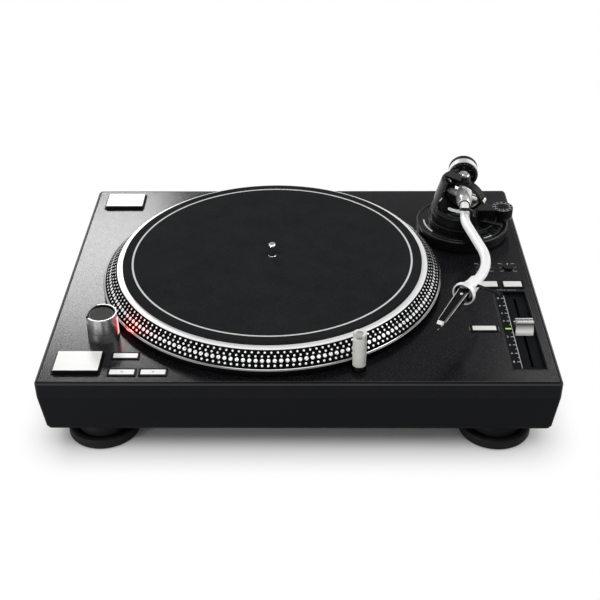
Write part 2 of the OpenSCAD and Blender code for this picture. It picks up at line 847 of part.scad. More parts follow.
module strobe_lens() {
    color([1, 0.25, 0.2]) translate([strobe_x, strobe_y, deck_z]) rotate([0, 0, lens_deg]) difference() {
        translate([strobe_r - 1.2, -3.5, 3.1]) cube([2.2, 7, 16.8]);
        translate([0, 0, 2]) difference() {
            rod(strobe_r + 4, 0, 20);
            rod(strobe_r + 0.5, -eps, 21);
        }
    }
}

module power_knob() {
    r = strobe_r - strobe_wall - clear;
    top = strobe_h - knob_drop;
    color([0.04, 0.04, 0.04]) translate([strobe_x, strobe_y, deck_z]) difference() {
        union() {
            rod(r, strobe_foot_h + 0.1, top - strobe_foot_h - 0.6);
            rod(r - 0.5, strobe_foot_h + 1, top - strobe_foot_h - 1);
            rotate([0, 0, notch_deg + notch_span - 12]) translate([r - 1, -1.2, strobe_h - 2.3])
                cube([strobe_wall + 1.1, 2.4, 1.5]);
        }
        translate([0, 0, top - 0.3]) difference() {
            rod(r - 1.2, 0, 1);
            rod(r - 1.7, -eps, 2);
        }
    }
}

// Target lamp

module lamp_sleeve() {
    color([0.1, 0.1, 0.1]) translate([lamp_x, lamp_y, deck_z]) difference() {
        union() {
            rod(sleeve_r + sleeve_wall, -sleeve_depth, sleeve_depth);
            rod(sleeve_r + sleeve_wall + 0.8, 0, 0.5);
        }
        rod(sleeve_r, 2 - sleeve_depth, sleeve_depth);
    }
}

module target_lamp() {
    step = 5;
    color([0.75, 0.75, 0.72]) translate([lamp_x, lamp_y, deck_z]) difference() {
        union() {
            rod(sleeve_r - run, -piston_drop, 4);
            rod(lamp_rod_r, -piston_drop, piston_drop + lamp_neck_h);
            rod(lamp_r, lamp_neck_h, lamp_h - lamp_neck_h);
        }
        translate([-lamp_r - 1, -lamp_r - 1, lamp_h - step]) cube([lamp_r + 3, lamp_r + 1, step + 1]);
        rotate([0, 0, -38]) translate([lamp_r - 0.7, -0.6, lamp_neck_h + 1]) cube([2, 1.2, lamp_h]);
    }
}

// Feet

module foot(sx, sy) {
    neck_top = foot_h - clear;
    cup = foot_cup_h;
    color([0.04, 0.04, 0.04]) translate([sx * FOOT_X, sy * FOOT_Y, 0]) {
        rotate_extrude() polygon([
            [0, 0], [foot_r - 3, 0], [foot_r - 2.4, 1.2], [foot_r - 0.6, 1.6], [foot_r, 2.6], [foot_r, cup - 2],
            [foot_r - 0.8, cup - 0.5], [foot_r - 2.2, cup], [foot_r - 4.6, cup], [foot_r - 5.6, cup - 1],
            [foot_r - 6, cup - 4], [foot_neck_r + 0.6, cup - 4], [foot_neck_r, cup - 2],
            [foot_neck_r - 0.6, cup + 4], [foot_neck_r - 3, cup + 9], [foot_neck_r - 5, neck_top], [0, neck_top]
        ]);
        rod(stud_r, neck_top - 1, stud_len + 1);
    }
}
module foot_fl() {
    foot(-1, -1);
}
module foot_fr() {
    foot(1, -1);
}
module foot_rl() {
    foot(-1, 1);
}
module foot_rr() {
    foot(1, 1);
}

// Electronics and the back

module main_board() {
    x = 78;
    y = -28;
    z = foot_h + cover_t + 8;
    color([0.08, 0.25, 0.12]) {
        block_at(x, y, z, 130, 96, board_t);
        for (sx = [-1, 1], sy = [-1, 1])
            translate([x + sx * 60, y + sy * 43, 0]) rod(3, foot_h + cover_t, 9);
        for (i = [0 : 3])
            translate([x - 45 + i * 18, y + 26, 0]) rod(6, z, 15);
        block_at(x + 20, y - 14, z, 22, 22, 4);
        block_at(x - 34, y - 20, z, 30, 14, 12);
    }
}

module transformer() {
    z = foot_h + cover_t;
    x = inlet_x + trafo_aside;
    y = half_d - base_wall - trafo_ahead;
    color([0.5, 0.42, 0.3]) translate([x, y, z]) {
        block_at(0, 0, 0, trafo_w + 4, trafo_coil_d - 4, 3);
        block_at(0, 0, 2, trafo_w, trafo_core_d, trafo_h);
        block_at(0, 0, 5, trafo_coil_w, trafo_coil_d, trafo_h - 6);
    }
}

module mains_inlet() {
    face_y = back_y - 1;
    cavity = [24.6, 16.6, 17];
    pin = [2, 11.5, 4];
    color([0.03, 0.03, 0.03]) translate([inlet_x, face_y, panel_z]) {
        difference() {
            translate([-inlet_w / 2 + 0.2, -inlet_depth, -inlet_h / 2 + 0.2])
                cube([inlet_w - 0.4, inlet_depth, inlet_h - 0.4]);
            translate([-cavity[0] / 2, -cavity[2], -cavity[1] / 2]) cube([cavity[0], cavity[2] + 1, cavity[1]]);
        }
        for (p = [[-7, -2], [0, 2], [7, -2]])
            translate([p[0] - pin[0] / 2, -cavity[2] - 0.5, p[1] - pin[2] / 2]) cube(pin);
    }
}

module jack_panel() {
    y = back_y - 1.5;
    gap = 0.2;
    w = panel_w - 2 * gap;
    h = panel_h - 2 * gap;
    color([0.08, 0.08, 0.085]) difference() {
        block_at(panel_x, y - panel_depth / 2, panel_z - h / 2, w, panel_depth, h);
        block_at(panel_x, y - panel_depth / 2 + panel_t + 1, panel_z - h / 2 + 1.5, w - 3, panel_depth + 2, h - 3);
        for (x = JACKS)
            translate([x, y, panel_z]) rotate([90, 0, 0]) cylinder(r = 3 + run, h = panel_depth + 1);
        translate([ground_x, y, panel_z]) rotate([90, 0, 0]) cylinder(r = 2 + run, h = panel_depth + 1);
        block_at(switch_x, y - panel_depth, panel_z - 2, 9, panel_depth, 4);
    }
}

module output_jacks() {
    y = back_y - 1.5 - panel_depth + panel_t;
    color([0.75, 0.65, 0.35]) {
        for (x = JACKS)
            translate([x, y, panel_z]) rotate([-90, 0, 0]) difference() {
                union() {
                    rod(jack_r, 0.01, 6.9);
                    rod(3, -panel_t - 6, panel_t + 7);
                }
                rod(1.6, -1, 9);
            }
        translate([ground_x, y, panel_z]) rotate([-90, 0, 0]) rod(2, -panel_t - 4, panel_t + 10);
        block_at(switch_x, y - panel_t - 4, panel_z - 5, 16, 8, 2.6);
    }
}

module line_switch() {
    y = back_y - 1.5 - panel_depth;
    color([0.9, 0.9, 0.9]) {
        block_at(switch_x - 2, y + 2, panel_z - 1.7, 4, 7, 3.4);
        block_at(switch_x - 2, y - 1, panel_z - 1.7, 8, 1.6, 3.4);
    }
}

module ground_nut() {
    y = back_y - 1.5 - panel_depth + panel_t;
    color([0.75, 0.65, 0.35]) translate([ground_x, y, panel_z]) rotate([-90, 0, 0]) difference() {
        rod(4.5, 0.1, 5.4);
        rod(2 + run, -1, 8);
        for (i = [0 : 17])
            rotate([0, 0, i * 20]) translate([4.75, 0, 0]) cylinder(r = 0.5, h = 8, $fn = 16);
    }
}

// Tonearm base

module arm_base() {
    color([0.05, 0.05, 0.05]) at_pivot() difference() {
        union() {
            rod(guide_r + 10, 0, base_flange_t);
            rod(guide_r, -guide_depth, guide_depth + ring_h - 1.2);
        }
        rod(stem_r + run, -guide_depth - 1, guide_depth + ring_h + 2);
    }
}

module height_ring() {
    inner = guide_r + run;
    bottom = base_flange_t + clear;
    web = 3;
    land = 41.5;
    groove = ring_r - 2;
    color([0.1, 0.1, 0.1]) at_pivot() difference() {
        rotate_extrude() polygon([
            [inner, ring_h - clear - web], [ring_r - 6, ring_h - clear - web - 1], [ring_r - 5, bottom],
            [ring_r - 0.6, bottom], [ring_r, bottom + 0.6], [ring_r, ring_h - 0.7], [ring_r - 0.7, ring_h],
            [groove, ring_h], [groove - 0.6, ring_h - 1], [land + 0.6, ring_h - 1], [land, ring_h - clear],
            [inner, ring_h - clear]
        ]);
    }
}

module arm_column() {
    step_r = 33.6;
    neck_r = 32.6;
    top_r = 31.8;
    start = 100;
    sweep = 185;
    bx = skate_x;
    by = skate_y;
    low = skate_z - 3;
    color([0.06, 0.06, 0.06]) at_pivot() difference() {
        union() {
            rod(stem_r, -guide_depth + 2, guide_depth + flange_z - 1);
            rod(flange_r - 0.5, flange_z, plate_top - flange_z);
            rod(11, flange_z, flange_t - 0.3);
            rotate([0, 0, start]) rotate_extrude(angle = sweep) polygon([
                [9, flange_z + 0.1], [flange_r - 0.1, flange_z + 0.1], [flange_r, flange_z + 0.2], [flange_r, floor_z],
                [step_r, floor_z], [step_r, 27], [neck_r - 0.8, 27.6], [neck_r - 0.8, 28.2], [neck_r, 28.6],
                [neck_r, 30], [top_r, 30.8], [top_r, wall_top - 0.6], [top_r - 0.6, wall_top],
                [wall_in, wall_top], [wall_in, floor_z], [9, floor_z]
            ]);
            translate([skate_block_x, skate_block_y, flange_z + 0.6])
                cube([bx - 8 - skate_block_x, skate_block_w, skate_top - flange_z - 0.6]);
            translate([bx - 12, skate_block_y, low]) cube([12, skate_block_w, 2.7]);
            translate([bx, by, 0]) rod(skate_r - 0.3, low, 2.7);
            rotate([0, 0, -park_deg]) translate([2, -rest_v - 4, flange_z + 0.4])
                cube([14, 24, bracket_top - flange_z - 0.4]);
            translate([lever_x, lever_y, 0]) rotate([0, 0, lever_deg])
                for (s = [-1, 1])
                    translate([-2.4, s * (lever_w / 2 + clear + 0.7) - 0.7, plate_top - 0.5])
                        cube([4.8, 1.4, lever_z - plate_top + 2.7]);
        }
        rod(journal_r + run, journal_end - 0.1, 40);
        translate([bx, by, 0]) rod(skate_r + clear, skate_z - 0.3, 20);
        translate([bx, by, 0]) rod(skate_pin_r + run, low - 1, 8);
        translate([lever_x, lever_y, lever_z]) rotate([0, 0, lever_deg]) rotate([90, 0, 0])
            cylinder(r = lever_pin_r + run, h = 20, center = true);
    }
}

module arm_tower() {
    from = 102;
    sweep = 103;
    bar = 140;
    color([0.05, 0.05, 0.05]) at_pivot() difference() {
        union() {
            rotate([0, 0, from]) rotate_extrude(angle = sweep) polygon([
                [tower_r - tower_t, tower_bottom], [tower_r, tower_bottom], [tower_r, tower_knee],
                [tower_top_r, tower_top - 0.6], [tower_top_r - 0.6, tower_top],
                [tower_top_r - tower_t - 1, tower_top], [tower_r - tower_t, tower_knee]
            ]);
            rotate([0, 0, bar]) translate([2, -6, tower_top - 2]) cube([tower_top_r - 4, 12, 2]);
            rod(boss_r, boss_z, boss_top - boss_z);
        }
        rod(cap_pin_r + run, boss_z - 1, 20);
    }
}

module pivot_cap() {
    color([0.8, 0.8, 0.8]) at_pivot() difference() {
        union() {
            rod(cap_pin_r, boss_z - 4, boss_top - boss_z + 5);
            rod(boss_r - 0.9, boss_top, 1.6);
            rod(boss_r - 1.5, boss_top, 2.2);
        }
        block_at(0, 0, boss_top + 1.5, 6, 0.9, 2);
    }
}

module anti_skate_dial() {
    color([0.08, 0.08, 0.08]) at_pivot() translate([skate_x, skate_y, 0]) difference() {
        union() {
            rod(skate_r, skate_z, skate_h - 0.7);
            rod(skate_r - 0.7, skate_z, skate_h);
            rod(skate_pin_r, skate_z - 2.9, 4);
        }
        for (i = [0 : 35])
            rotate([0, 0, i * 10]) translate([skate_r + 0.25, 0, skate_z - 1]) cylinder(r = 0.5, h = 20, $fn = 16);
    }
}

// Lifter and rest post, both on the column
module lift_guide() {
    lx = lift_dist * cos(lift_deg);
    ly = lift_dist * sin(lift_deg);
    saddle = -tube_r - rest_down;
    wall_x = tube_r + rest_side;
    ear_t = 2.2;
    ear_y = -rest_v - rest_w / 2 - ear_t - 0.2;
    slot_z = lift_bar_top - lift_bar_t - lift_travel - clear;
    color([0.06, 0.06, 0.06]) {
        at_pivot() difference() {
            union() {
                intersection() {
                    translate([lx, ly, 0]) rod(lift_r, floor_z, wall_top - floor_z + 0.1);
                    rod(wall_in - 0.05, 0, 60);
                }
                translate([lx, ly, 0]) rod(lift_r, wall_top + 0.05, lift_top - wall_top - 0.6);
                translate([lx, ly, 0]) rod(lift_r - 0.5, wall_top, lift_top - wall_top);
            }
            translate([lx, ly, 0]) rod(lift_post_r + run, floor_z + 1, 20);
            rotate([0, 0, lift_deg - 40]) rotate_extrude(angle = 80)
                translate([lift_bar_r - lift_bar_w / 2 - clear, slot_z]) square([lift_bar_w + 2 * clear, 10]);
        }
        arm_frame() translate([0, -rest_v + rest_w / 2, 0]) rotate([90, 0, 0]) linear_extrude(rest_w) polygon([
            [-4.4, saddle - 0.8], [-3.4, saddle - 2.6], [3, saddle - 2.6], [3, bracket_top - arm_h],
            [wall_x + 6, bracket_top - arm_h], [wall_x + 6, -4], [wall_x + 4, -3], [wall_x, -3], [wall_x, saddle + 1],
            [wall_x - 1, saddle], [-4, saddle]
        ]);
        arm_frame() translate([wall_x, ear_y, -7]) cube([6, ear_t, 9.6]);
        arm_frame() translate([wall_x, ear_y, -7]) cube([6, ear_t + 0.5, 3]);
        arm_frame() translate([clamp_x, ear_y + 1, clamp_z]) rotate([-90, 0, 0]) cylinder(r = 0.9, h = rest_w + 1.4);
    }
}

module arm_clamp() {
    in_x = tube_r + rest_side;
    top = tube_r + rest_up;
    reach = -5.4;
    t = clamp_t;
    color([0.03, 0.03, 0.03]) arm_frame() translate([0, -rest_v + rest_w / 2 - 0.3, 0]) rotate([90, 0, 0])
        difference() {
            linear_extrude(rest_w - 0.6) union() {
                translate([clamp_x, clamp_z]) circle(clamp_r);
                translate([in_x + 0.2, clamp_z]) square([t + 0.4, top - clamp_z - 1]);
                polygon([
                    [in_x + 0.2, top - 2.5], [in_x + 0.6 + t, top - 2.5], [in_x + 0.4 + t, top - 0.2],
                    [in_x - 1, top + t], [reach + 1.2, top + t], [reach, top + t - 0.6], [reach, top],
                    [in_x - 1.4, top]
                ]);
            }
            translate([clamp_x, clamp_z, -1]) cylinder(r = 0.9 + run, h = rest_w + 2);
        }
}

module lift_bar() {
    lx = lift_dist * cos(lift_deg);
    ly = lift_dist * sin(lift_deg);
    bar_z = lift_bar_top - lift_bar_t;
    post_z = floor_z + 1 + lift_travel + 0.1;
    sweep = 50;
    color([0.75, 0.75, 0.76]) at_pivot() {
        translate([lx, ly, 0]) rod(lift_post_r, post_z, bar_z + 0.9 - post_z);
        rotate([0, 0, lift_deg - sweep / 2]) rotate_extrude(angle = sweep)
            translate([lift_bar_r - lift_bar_w / 2, bar_z]) square([lift_bar_w, lift_bar_t]);
    }
}

module cue_lever() {
    hub = 1.9;
    color([0.1, 0.1, 0.1]) at_pivot() translate([lever_x, lever_y, lever_z]) rotate([0, 0, lever_deg]) {
        rotate([90, 0, 0]) cylinder(r = lever_pin_r, h = lever_w + 3, center = true);
        rotate([90, 0, 0]) cylinder(r = hub, h = lever_w, center = true);
        translate([0, -lever_w / 2, -0.3]) cube([lever_l, lever_w, 1.8]);
        translate([lever_l, 0, -0.3]) cylinder(r = lever_w / 2 + 0.8, h = 2.4);
    }
}

// Moving arm

module gimbal() {
    gap_low = floor_z + clear - arm_h;
    color([0.05, 0.05, 0.05]) yoke_frame() difference() {
        union() {
            difference() {
                rotate([90, 0, 0]) translate([0, 0, -yoke_w / 2]) linear_extrude(yoke_w) intersection() {
                    translate([0, -yoke_k]) circle(yoke_r);
                    translate([0, yoke_k]) circle(yoke_r);
                }
                rotate([90, 0, 0]) translate([0, 0, -yoke_w]) linear_extrude(2 * yoke_w) intersection() {
                    translate([0, -yoke_k]) circle(yoke_r - yoke_t);
                    translate([0, yoke_k]) circle(yoke_r - yoke_t);
                }
            }
            for (s = [-1, 1])
                rotate([0, s * 90, 0]) {
                    rod(3.1, yoke_half - 2.6, 3.8);
                    rod(2.2, yoke_half - 2.6, 4.4);
                }
            rod(yoke_w / 2 + 1, gap_low, -yoke_rise - gap_low + 1.5);
            rod(journal_r, journal_end - arm_h, gap_low - journal_end + arm_h + 1);
        }
        rotate([0, 90, 0]) cylinder(r = pin_r + run, h = 2 * yoke_half, center = true);
        rod(cap_pin_r + run, boss_z - arm_h - 4.1, 10);
    }
}

module arm_hub() {
    color([0.8, 0.8, 0.81]) {
        difference() {
            union() {
                arm_frame() rotate([90, 0, 0]) rotate_extrude() polygon([
                    [0, -hub_back], [6, -hub_back], [7.4, -hub_back + 2], [hub_r, -2], [hub_r, 12], [7.4, 17],
                    [6.2, hub_front - 1.6], [5.6, hub_front], [0, hub_front]
                ]);
                yoke_frame()
                    for (s = [-1, 1])
                        rotate([0, s * 90, 0]) {
                            rod(trunnion_r, 4, trunnion_l - 4);
                            rod(pin_r, 6, yoke_half - 6.6);
                        }
            }
            arm_frame() rotate([90, 0, 0]) {
                rod(tube_r + run, 12, 20);
                rod(rear_r + run, -hub_back - 1, 5);
            }
        }
    }
}

// The tube; its bore runs through the straight ends
module arm_tube() {
    start = 12.1;
    bore = tube_r - tube_wall;
    color([0.85, 0.85, 0.86]) arm_frame() difference() {
        union() {
            translate([0, -start, 0]) rotate([90, 0, 0]) cylinder(r = tube_r, h = tube_a - start);
            translate([c_1[0], c_1[1], 0]) rotate([0, 0, 180]) rotate_extrude(angle = bend_1_deg)
                translate([bend_1_r, 0]) circle(tube_r);
            translate([p_b[0], p_b[1], 0]) rotate([0, 0, turn_end]) rotate([90, 0, 0])
                cylinder(r = tube_r, h = tube_b);
            translate([c_2[0], c_2[1], 0]) rotate([0, 0, -offset_deg])
                rotate_extrude(angle = turn_end + offset_deg) translate([bend_2_r, 0]) circle(tube_r);
            translate([p_d[0], p_d[1], 0]) rotate([0, 0, -offset_deg]) rotate([90, 0, 0])
                cylinder(r = tube_r, h = tube_end);
        }
        translate([0, -start + 1, 0]) rotate([90, 0, 0]) cylinder(r = bore, h = tube_a - start - 3);
        translate([p_d[0], p_d[1], 0]) rotate([0, 0, -offset_deg]) rotate([90, 0, 0])
            translate([0, 0, 2]) cylinder(r = bore, h = tube_end);
    }
}

module rear_shaft() {
    color([0.7, 0.7, 0.72]) arm_frame() rotate([-90, 0, 0]) rod(rear_r, hub_back - 3.9, shaft_end - hub_back + 3.9);
}

module counterweight() {
    grip = 6.5;
    body_l = weight_l - grip;
    color([0.75, 0.75, 0.76]) arm_frame() rotate([-90, 0, 0]) difference() {
        union() {
            rod(dial_boss_r, weight_back - dial_t, dial_t + 1);
            rod(weight_r - 0.5, weight_back, weight_l - 0.5);
            rod(weight_r, weight_back + 0.5, body_l - 1);
            rod(weight_r, weight_back + body_l + 0.3, grip - 0.9);
            rod(weight_r - 2.5, weight_back, weight_l);
        }
        rod(rear_r + run, 0, 90);
        rod(weight_r - 6, weight_back + weight_l - 1.5, 5);
    }
}

module weight_dial() {
    back = weight_back - 0.1;
    color([0.05, 0.05, 0.05]) arm_frame() rotate([-90, 0, 0]) rotate_extrude() polygon([
        [dial_boss_r + run, back], [dial_r, back], [dial_r, back - 0.8], [dial_r - 2.2, back - dial_t + 0.3],
        [dial_r - 3.4, back - dial_t + 0.3], [dial_boss_r + run, back - dial_t + 0.9]
    ]);
}

module lock_collar() {
    color([0.8, 0.8, 0.8]) head_frame() difference() {
        rotate_extrude() polygon([
            [tube_r + run, collar_start], [collar_r - 0.8, collar_start], [collar_r, collar_start + 0.8],
            [collar_r, collar_end - 8], [collar_r + 0.6, collar_end - 7.2], [collar_r + 0.6, collar_end - 0.6],
            [collar_r, collar_end], [plug_r + run, collar_end], [plug_r + run, tube_end + 0.2],
            [tube_r + run, tube_end + 0.2]
        ]);
        for (i = [0 : 23])
            rotate([0, 0, i * 15]) translate([collar_r + 0.9, 0, collar_end - 6.6]) cylinder(r = 0.5, h = 5.6, $fn = 16);
    }
}

module pickup() {
    // Sections of the body: [width, top, bottom, distance along the axis]
    rear = [10.4, 5.2, -4.6, body_start];
    front = [8, -4.6, -9.6, body_end - 0.5];
    lift = [[3.2, 4.9, 25.4], [8.8, 6.8, 17.6], [29.5, 6.8, 19.2]];
    color([0.05, 0.05, 0.05]) head_frame() difference() {
        union() {
            rod(plug_r - run, tube_end + 0.4, body_start - tube_end + 1);
            hull() {
                for (c = [rear, front])
                    translate([0, 0, c[3]]) linear_extrude(0.5) polygon([
                        [-c[0] / 2 + 1.2, c[1]], [c[0] / 2 - 1.2, c[1]], [c[0] / 2, c[1] - 1.2],
                        [c[0] / 2, c[2] + 1.4], [c[0] / 2 - 1.4, c[2]], [-c[0] / 2 + 1.4, c[2]],
                        [-c[0] / 2, c[2] + 1.4], [-c[0] / 2, c[1] - 1.2]
                    ]);
            }
            translate([1.2, 2, 34.5]) rotate([-90, 0, 0]) cylinder(r = 1.3, h = 2.8);
            rotate_extrude() polygon([
                [plug_r - 1, cup_start], [7.6, cup_start], [9.4, cup_start + 0.8], [cup_r, cup_start + 3.6],
                [cup_r, cup_end - 0.4], [cup_r - 0.4, cup_end], [cup_in + 0.3, cup_end], [cup_in, cup_end - 0.5],
                [cup_in, cup_start + 3.8], [7.2, cup_start + 1.8], [plug_r - 1, cup_start + 1.6]
            ]);
            for (i = [0, 1])
                hull() {
                    translate(lift[i]) rotate([90, 0, 0]) cylinder(r = 1.4, h = 1.2, center = true, $fn = 24);
                    translate(lift[i + 1]) rotate([90, 0, 0]) cylinder(r = 1.4, h = 1.2, center = true, $fn = 24);
                }
        }
        translate([0, -6.9, 0]) rod(1 + run, body_end - 8.2, 12);
    }
}

module stylus() {
    color([0.85, 0.85, 0.84]) head_frame() {
        hull() {
            translate([-3, -9.8, body_end + 0.1]) cube([6, 4.8, 0.4]);
            translate([-2.2, -9.4, nose_end - 0.4]) cube([4.4, 2.8, 0.4]);
        }
        translate([0, -6.9, 0]) rod(1, body_end - 8, 9);
        translate([0, -9.2, body_end + 0.8]) rotate([24, 0, 0]) cylinder(r = 0.6, h = 5, $fn = 24);
        translate([0, -tip_drop, tip_s]) rotate([-90, 0, 0]) cylinder(r1 = 0.25, r2 = 0.7, h = 2.2, $fn = 24);
    }
}

top_shell();
faceplate();
lower_base();
base_plate();
base_screws();
bearing_housing();
stator();
main_board();
transformer();
mains_inlet();
jack_panel();
output_jacks();
pitch_plate();
controls_board();
key_frames();
strobe_housing();
strobe_lens();
lamp_sleeve();
arm_base();
platter();
rotor_magnet();
spindle();
slipmat();
start_front();
start_rear();
key_33();
key_45();
key_reverse();
key_reset();
key_range_a();
key_range_b();
power_knob();
trim_knob_a();
trim_knob_b();
pitch_fader();
target_lamp();
line_switch();
ground_nut();
foot_fl();
foot_fr();
foot_rl();
foot_rr();
height_ring();
arm_column();
arm_tower();
pivot_cap();
anti_skate_dial();
lift_guide();
lift_bar();
cue_lever();
arm_clamp();
gimbal();
arm_hub();
arm_tube();
rear_shaft();
counterweight();
weight_dial();
lock_collar();
pickup();
stylus();
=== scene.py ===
"""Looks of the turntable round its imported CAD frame. Lengths are in millimetres until they reach Blender."""

import math

import bmesh
import bpy
from mathutils import Matrix, Vector


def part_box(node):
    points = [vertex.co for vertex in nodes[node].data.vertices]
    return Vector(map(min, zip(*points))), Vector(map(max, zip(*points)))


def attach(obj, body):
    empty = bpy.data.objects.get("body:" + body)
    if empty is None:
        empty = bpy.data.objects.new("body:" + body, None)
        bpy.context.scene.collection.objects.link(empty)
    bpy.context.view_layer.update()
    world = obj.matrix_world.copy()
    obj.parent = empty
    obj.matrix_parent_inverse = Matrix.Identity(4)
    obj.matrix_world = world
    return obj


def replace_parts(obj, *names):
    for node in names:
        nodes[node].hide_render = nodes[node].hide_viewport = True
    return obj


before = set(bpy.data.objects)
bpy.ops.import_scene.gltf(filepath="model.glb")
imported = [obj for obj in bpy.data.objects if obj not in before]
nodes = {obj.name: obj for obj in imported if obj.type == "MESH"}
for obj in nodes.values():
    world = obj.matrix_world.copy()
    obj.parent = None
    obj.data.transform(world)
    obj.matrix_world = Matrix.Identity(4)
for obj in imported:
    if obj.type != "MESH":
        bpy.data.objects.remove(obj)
scene = bpy.context.scene
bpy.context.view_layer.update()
MM = 0.001


# Places, read from the frame

def box_mm(node):
    low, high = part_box(node)
    return low / MM, high / MM


def middle(node):
    low, high = box_mm(node)
    return (low + high) / 2


def top_of(node):
    return box_mm(node)[1].z


def move(x=0.0, y=0.0, z=0.0):
    return Matrix.Translation(Vector((x, y, z)))


def spin(degrees, axis="Z"):
    return Matrix.Rotation(math.radians(degrees), 4, axis)


def upright(x, y, z, degrees=0.0):
    """A place whose z axis is upright, turned about it."""
    return move(x, y, z) @ spin(degrees)


DECK_Z = top_of("top_shell")
SPINDLE = middle("platter")
PIVOT = middle("height_ring")
LAMP = middle("lamp_sleeve")
MAT_R = (box_mm("slipmat")[1].x - box_mm("slipmat")[0].x) / 2

# The strobe housing's box reaches past its cylinder on the platter's side
STROBE_R = 14.0
STROBE_REACH = 0.4
STROBE = middle("strobe_housing")
STROBE.x = box_mm("strobe_housing")[1].x - STROBE_R - STROBE_REACH

# The arm's frame: the origin is the pivot, and the front lies towards -y
ARM_RISE = 43.0
PARK_DEG = 5.5
ARM = move(PIVOT.x, PIVOT.y, DECK_Z + ARM_RISE) @ spin(-PARK_DEG)

# The arm's tube, as the CAD source has it
TUBE_R = 4.6
TUBE_START = 12.1
TUBE_A = 48.0
BEND_1_R = 60.0
BEND_1_DEG = 16.5
TUBE_B = 43.0
BEND_2_R = 75.0
OFFSET_DEG = 28.0
TUBE_RUN_OUT = 19.9


def ahead(degrees):
    """Way along the tube in the arm's frame, turned by degrees from the front towards +x."""
    a = math.radians(degrees)
    return Vector((math.sin(a), -math.cos(a), 0))


def aside(degrees):
    """Way across the tube, a quarter turn from the way along it."""
    a = math.radians(degrees)
    return Vector((math.cos(a), math.sin(a), 0))


BEND_1_AT = TUBE_A * ahead(0) + BEND_1_R * aside(0)
BEND_1_END = BEND_1_AT - BEND_1_R * aside(BEND_1_DEG)
BEND_2_AT = BEND_1_END + TUBE_B * ahead(BEND_1_DEG) - BEND_2_R * aside(BEND_1_DEG)
BEND_2_END = BEND_2_AT + BEND_2_R * aside(-OFFSET_DEG)

# The head's frame: +z runs forward along the headshell, +x to its right, +y up
HEAD = ARM @ Matrix.Translation(BEND_2_END) @ spin(-OFFSET_DEG) @ spin(90, "X")


# Node trees and materials

def linear(*rgb):
    """Linear colour of an sRGB colour in 0 to 255."""
    out = []
    for c in rgb:
        c /= 255
        out.append(c / 12.92 if c <= 0.04045 else ((c + 0.055) / 1.055) ** 2.4)
    return tuple(out) + (1.0,)


def shade(tone, share):
    """A tone made lighter by a share, or darker where the share is negative."""
    return tuple(min(1.0, c * (1 + share)) for c in tone[:3]) + (1.0,)


class Nodes:
    """A node tree, with helpers that add nodes to it."""

    def __init__(self, tree):
        self.tree = tree
        tree.nodes.clear()

    def add(self, kind, **props):
        node = self.tree.nodes.new(kind)
        for key, value in props.items():
            setattr(node, key, value)
        return node

    def link(self, a, b):
        self.tree.links.new(a, b)

    def feed(self, socket, value):
        """Set a socket to a number or colour, or link another node's output to it."""
        if isinstance(value, (int, float, tuple)):
            socket.default_value = value
        else:
            self.link(value, socket)

    def math(self, op, a, b=0.0):
        node = self.add("ShaderNodeMath", operation=op)
        self.feed(node.inputs[0], a)
        self.feed(node.inputs[1], b)
        return node.outputs[0]

    def span(self, value, low, high, to_low=0.0, to_high=1.0):
        """to_low where the value is low or less, to_high where it is high or more."""
        node = self.add("ShaderNodeMapRange", clamp=True)
        for key, v in (("From Min", low), ("From Max", high), ("To Min", to_low), ("To Max", to_high)):
            node.inputs[key].default_value = v
        self.link(value, node.inputs["Value"])
        return node.outputs[0]

    def either(self, first, *others):
        """The greatest of its values."""
        for other in others:
            first = self.math("MAXIMUM", first, other)
        return first

    def both(self, first, *others):
        """The product of its values."""
        for other in others:
            first = self.math("MULTIPLY", first, other)
        return first

    def split(self, source):
        node = self.add("ShaderNodeSeparateXYZ")
        self.link(source, node.inputs[0])
        return node.outputs

    def seen(self, rays):
        """1 for camera, glossy and transmission rays."""
        kinds = ("Is Camera Ray", "Is Glossy Ray", "Is Transmission Ray")
        return self.either(*(rays[kind] for kind in kinds))

    def mixed(self, fac, a, b):
        """Two shaders mixed."""
        node = self.add("ShaderNodeMixShader")
        for socket, value in zip(node.inputs, (fac, a, b)):
            self.link(value, socket)
        return node.outputs[0]


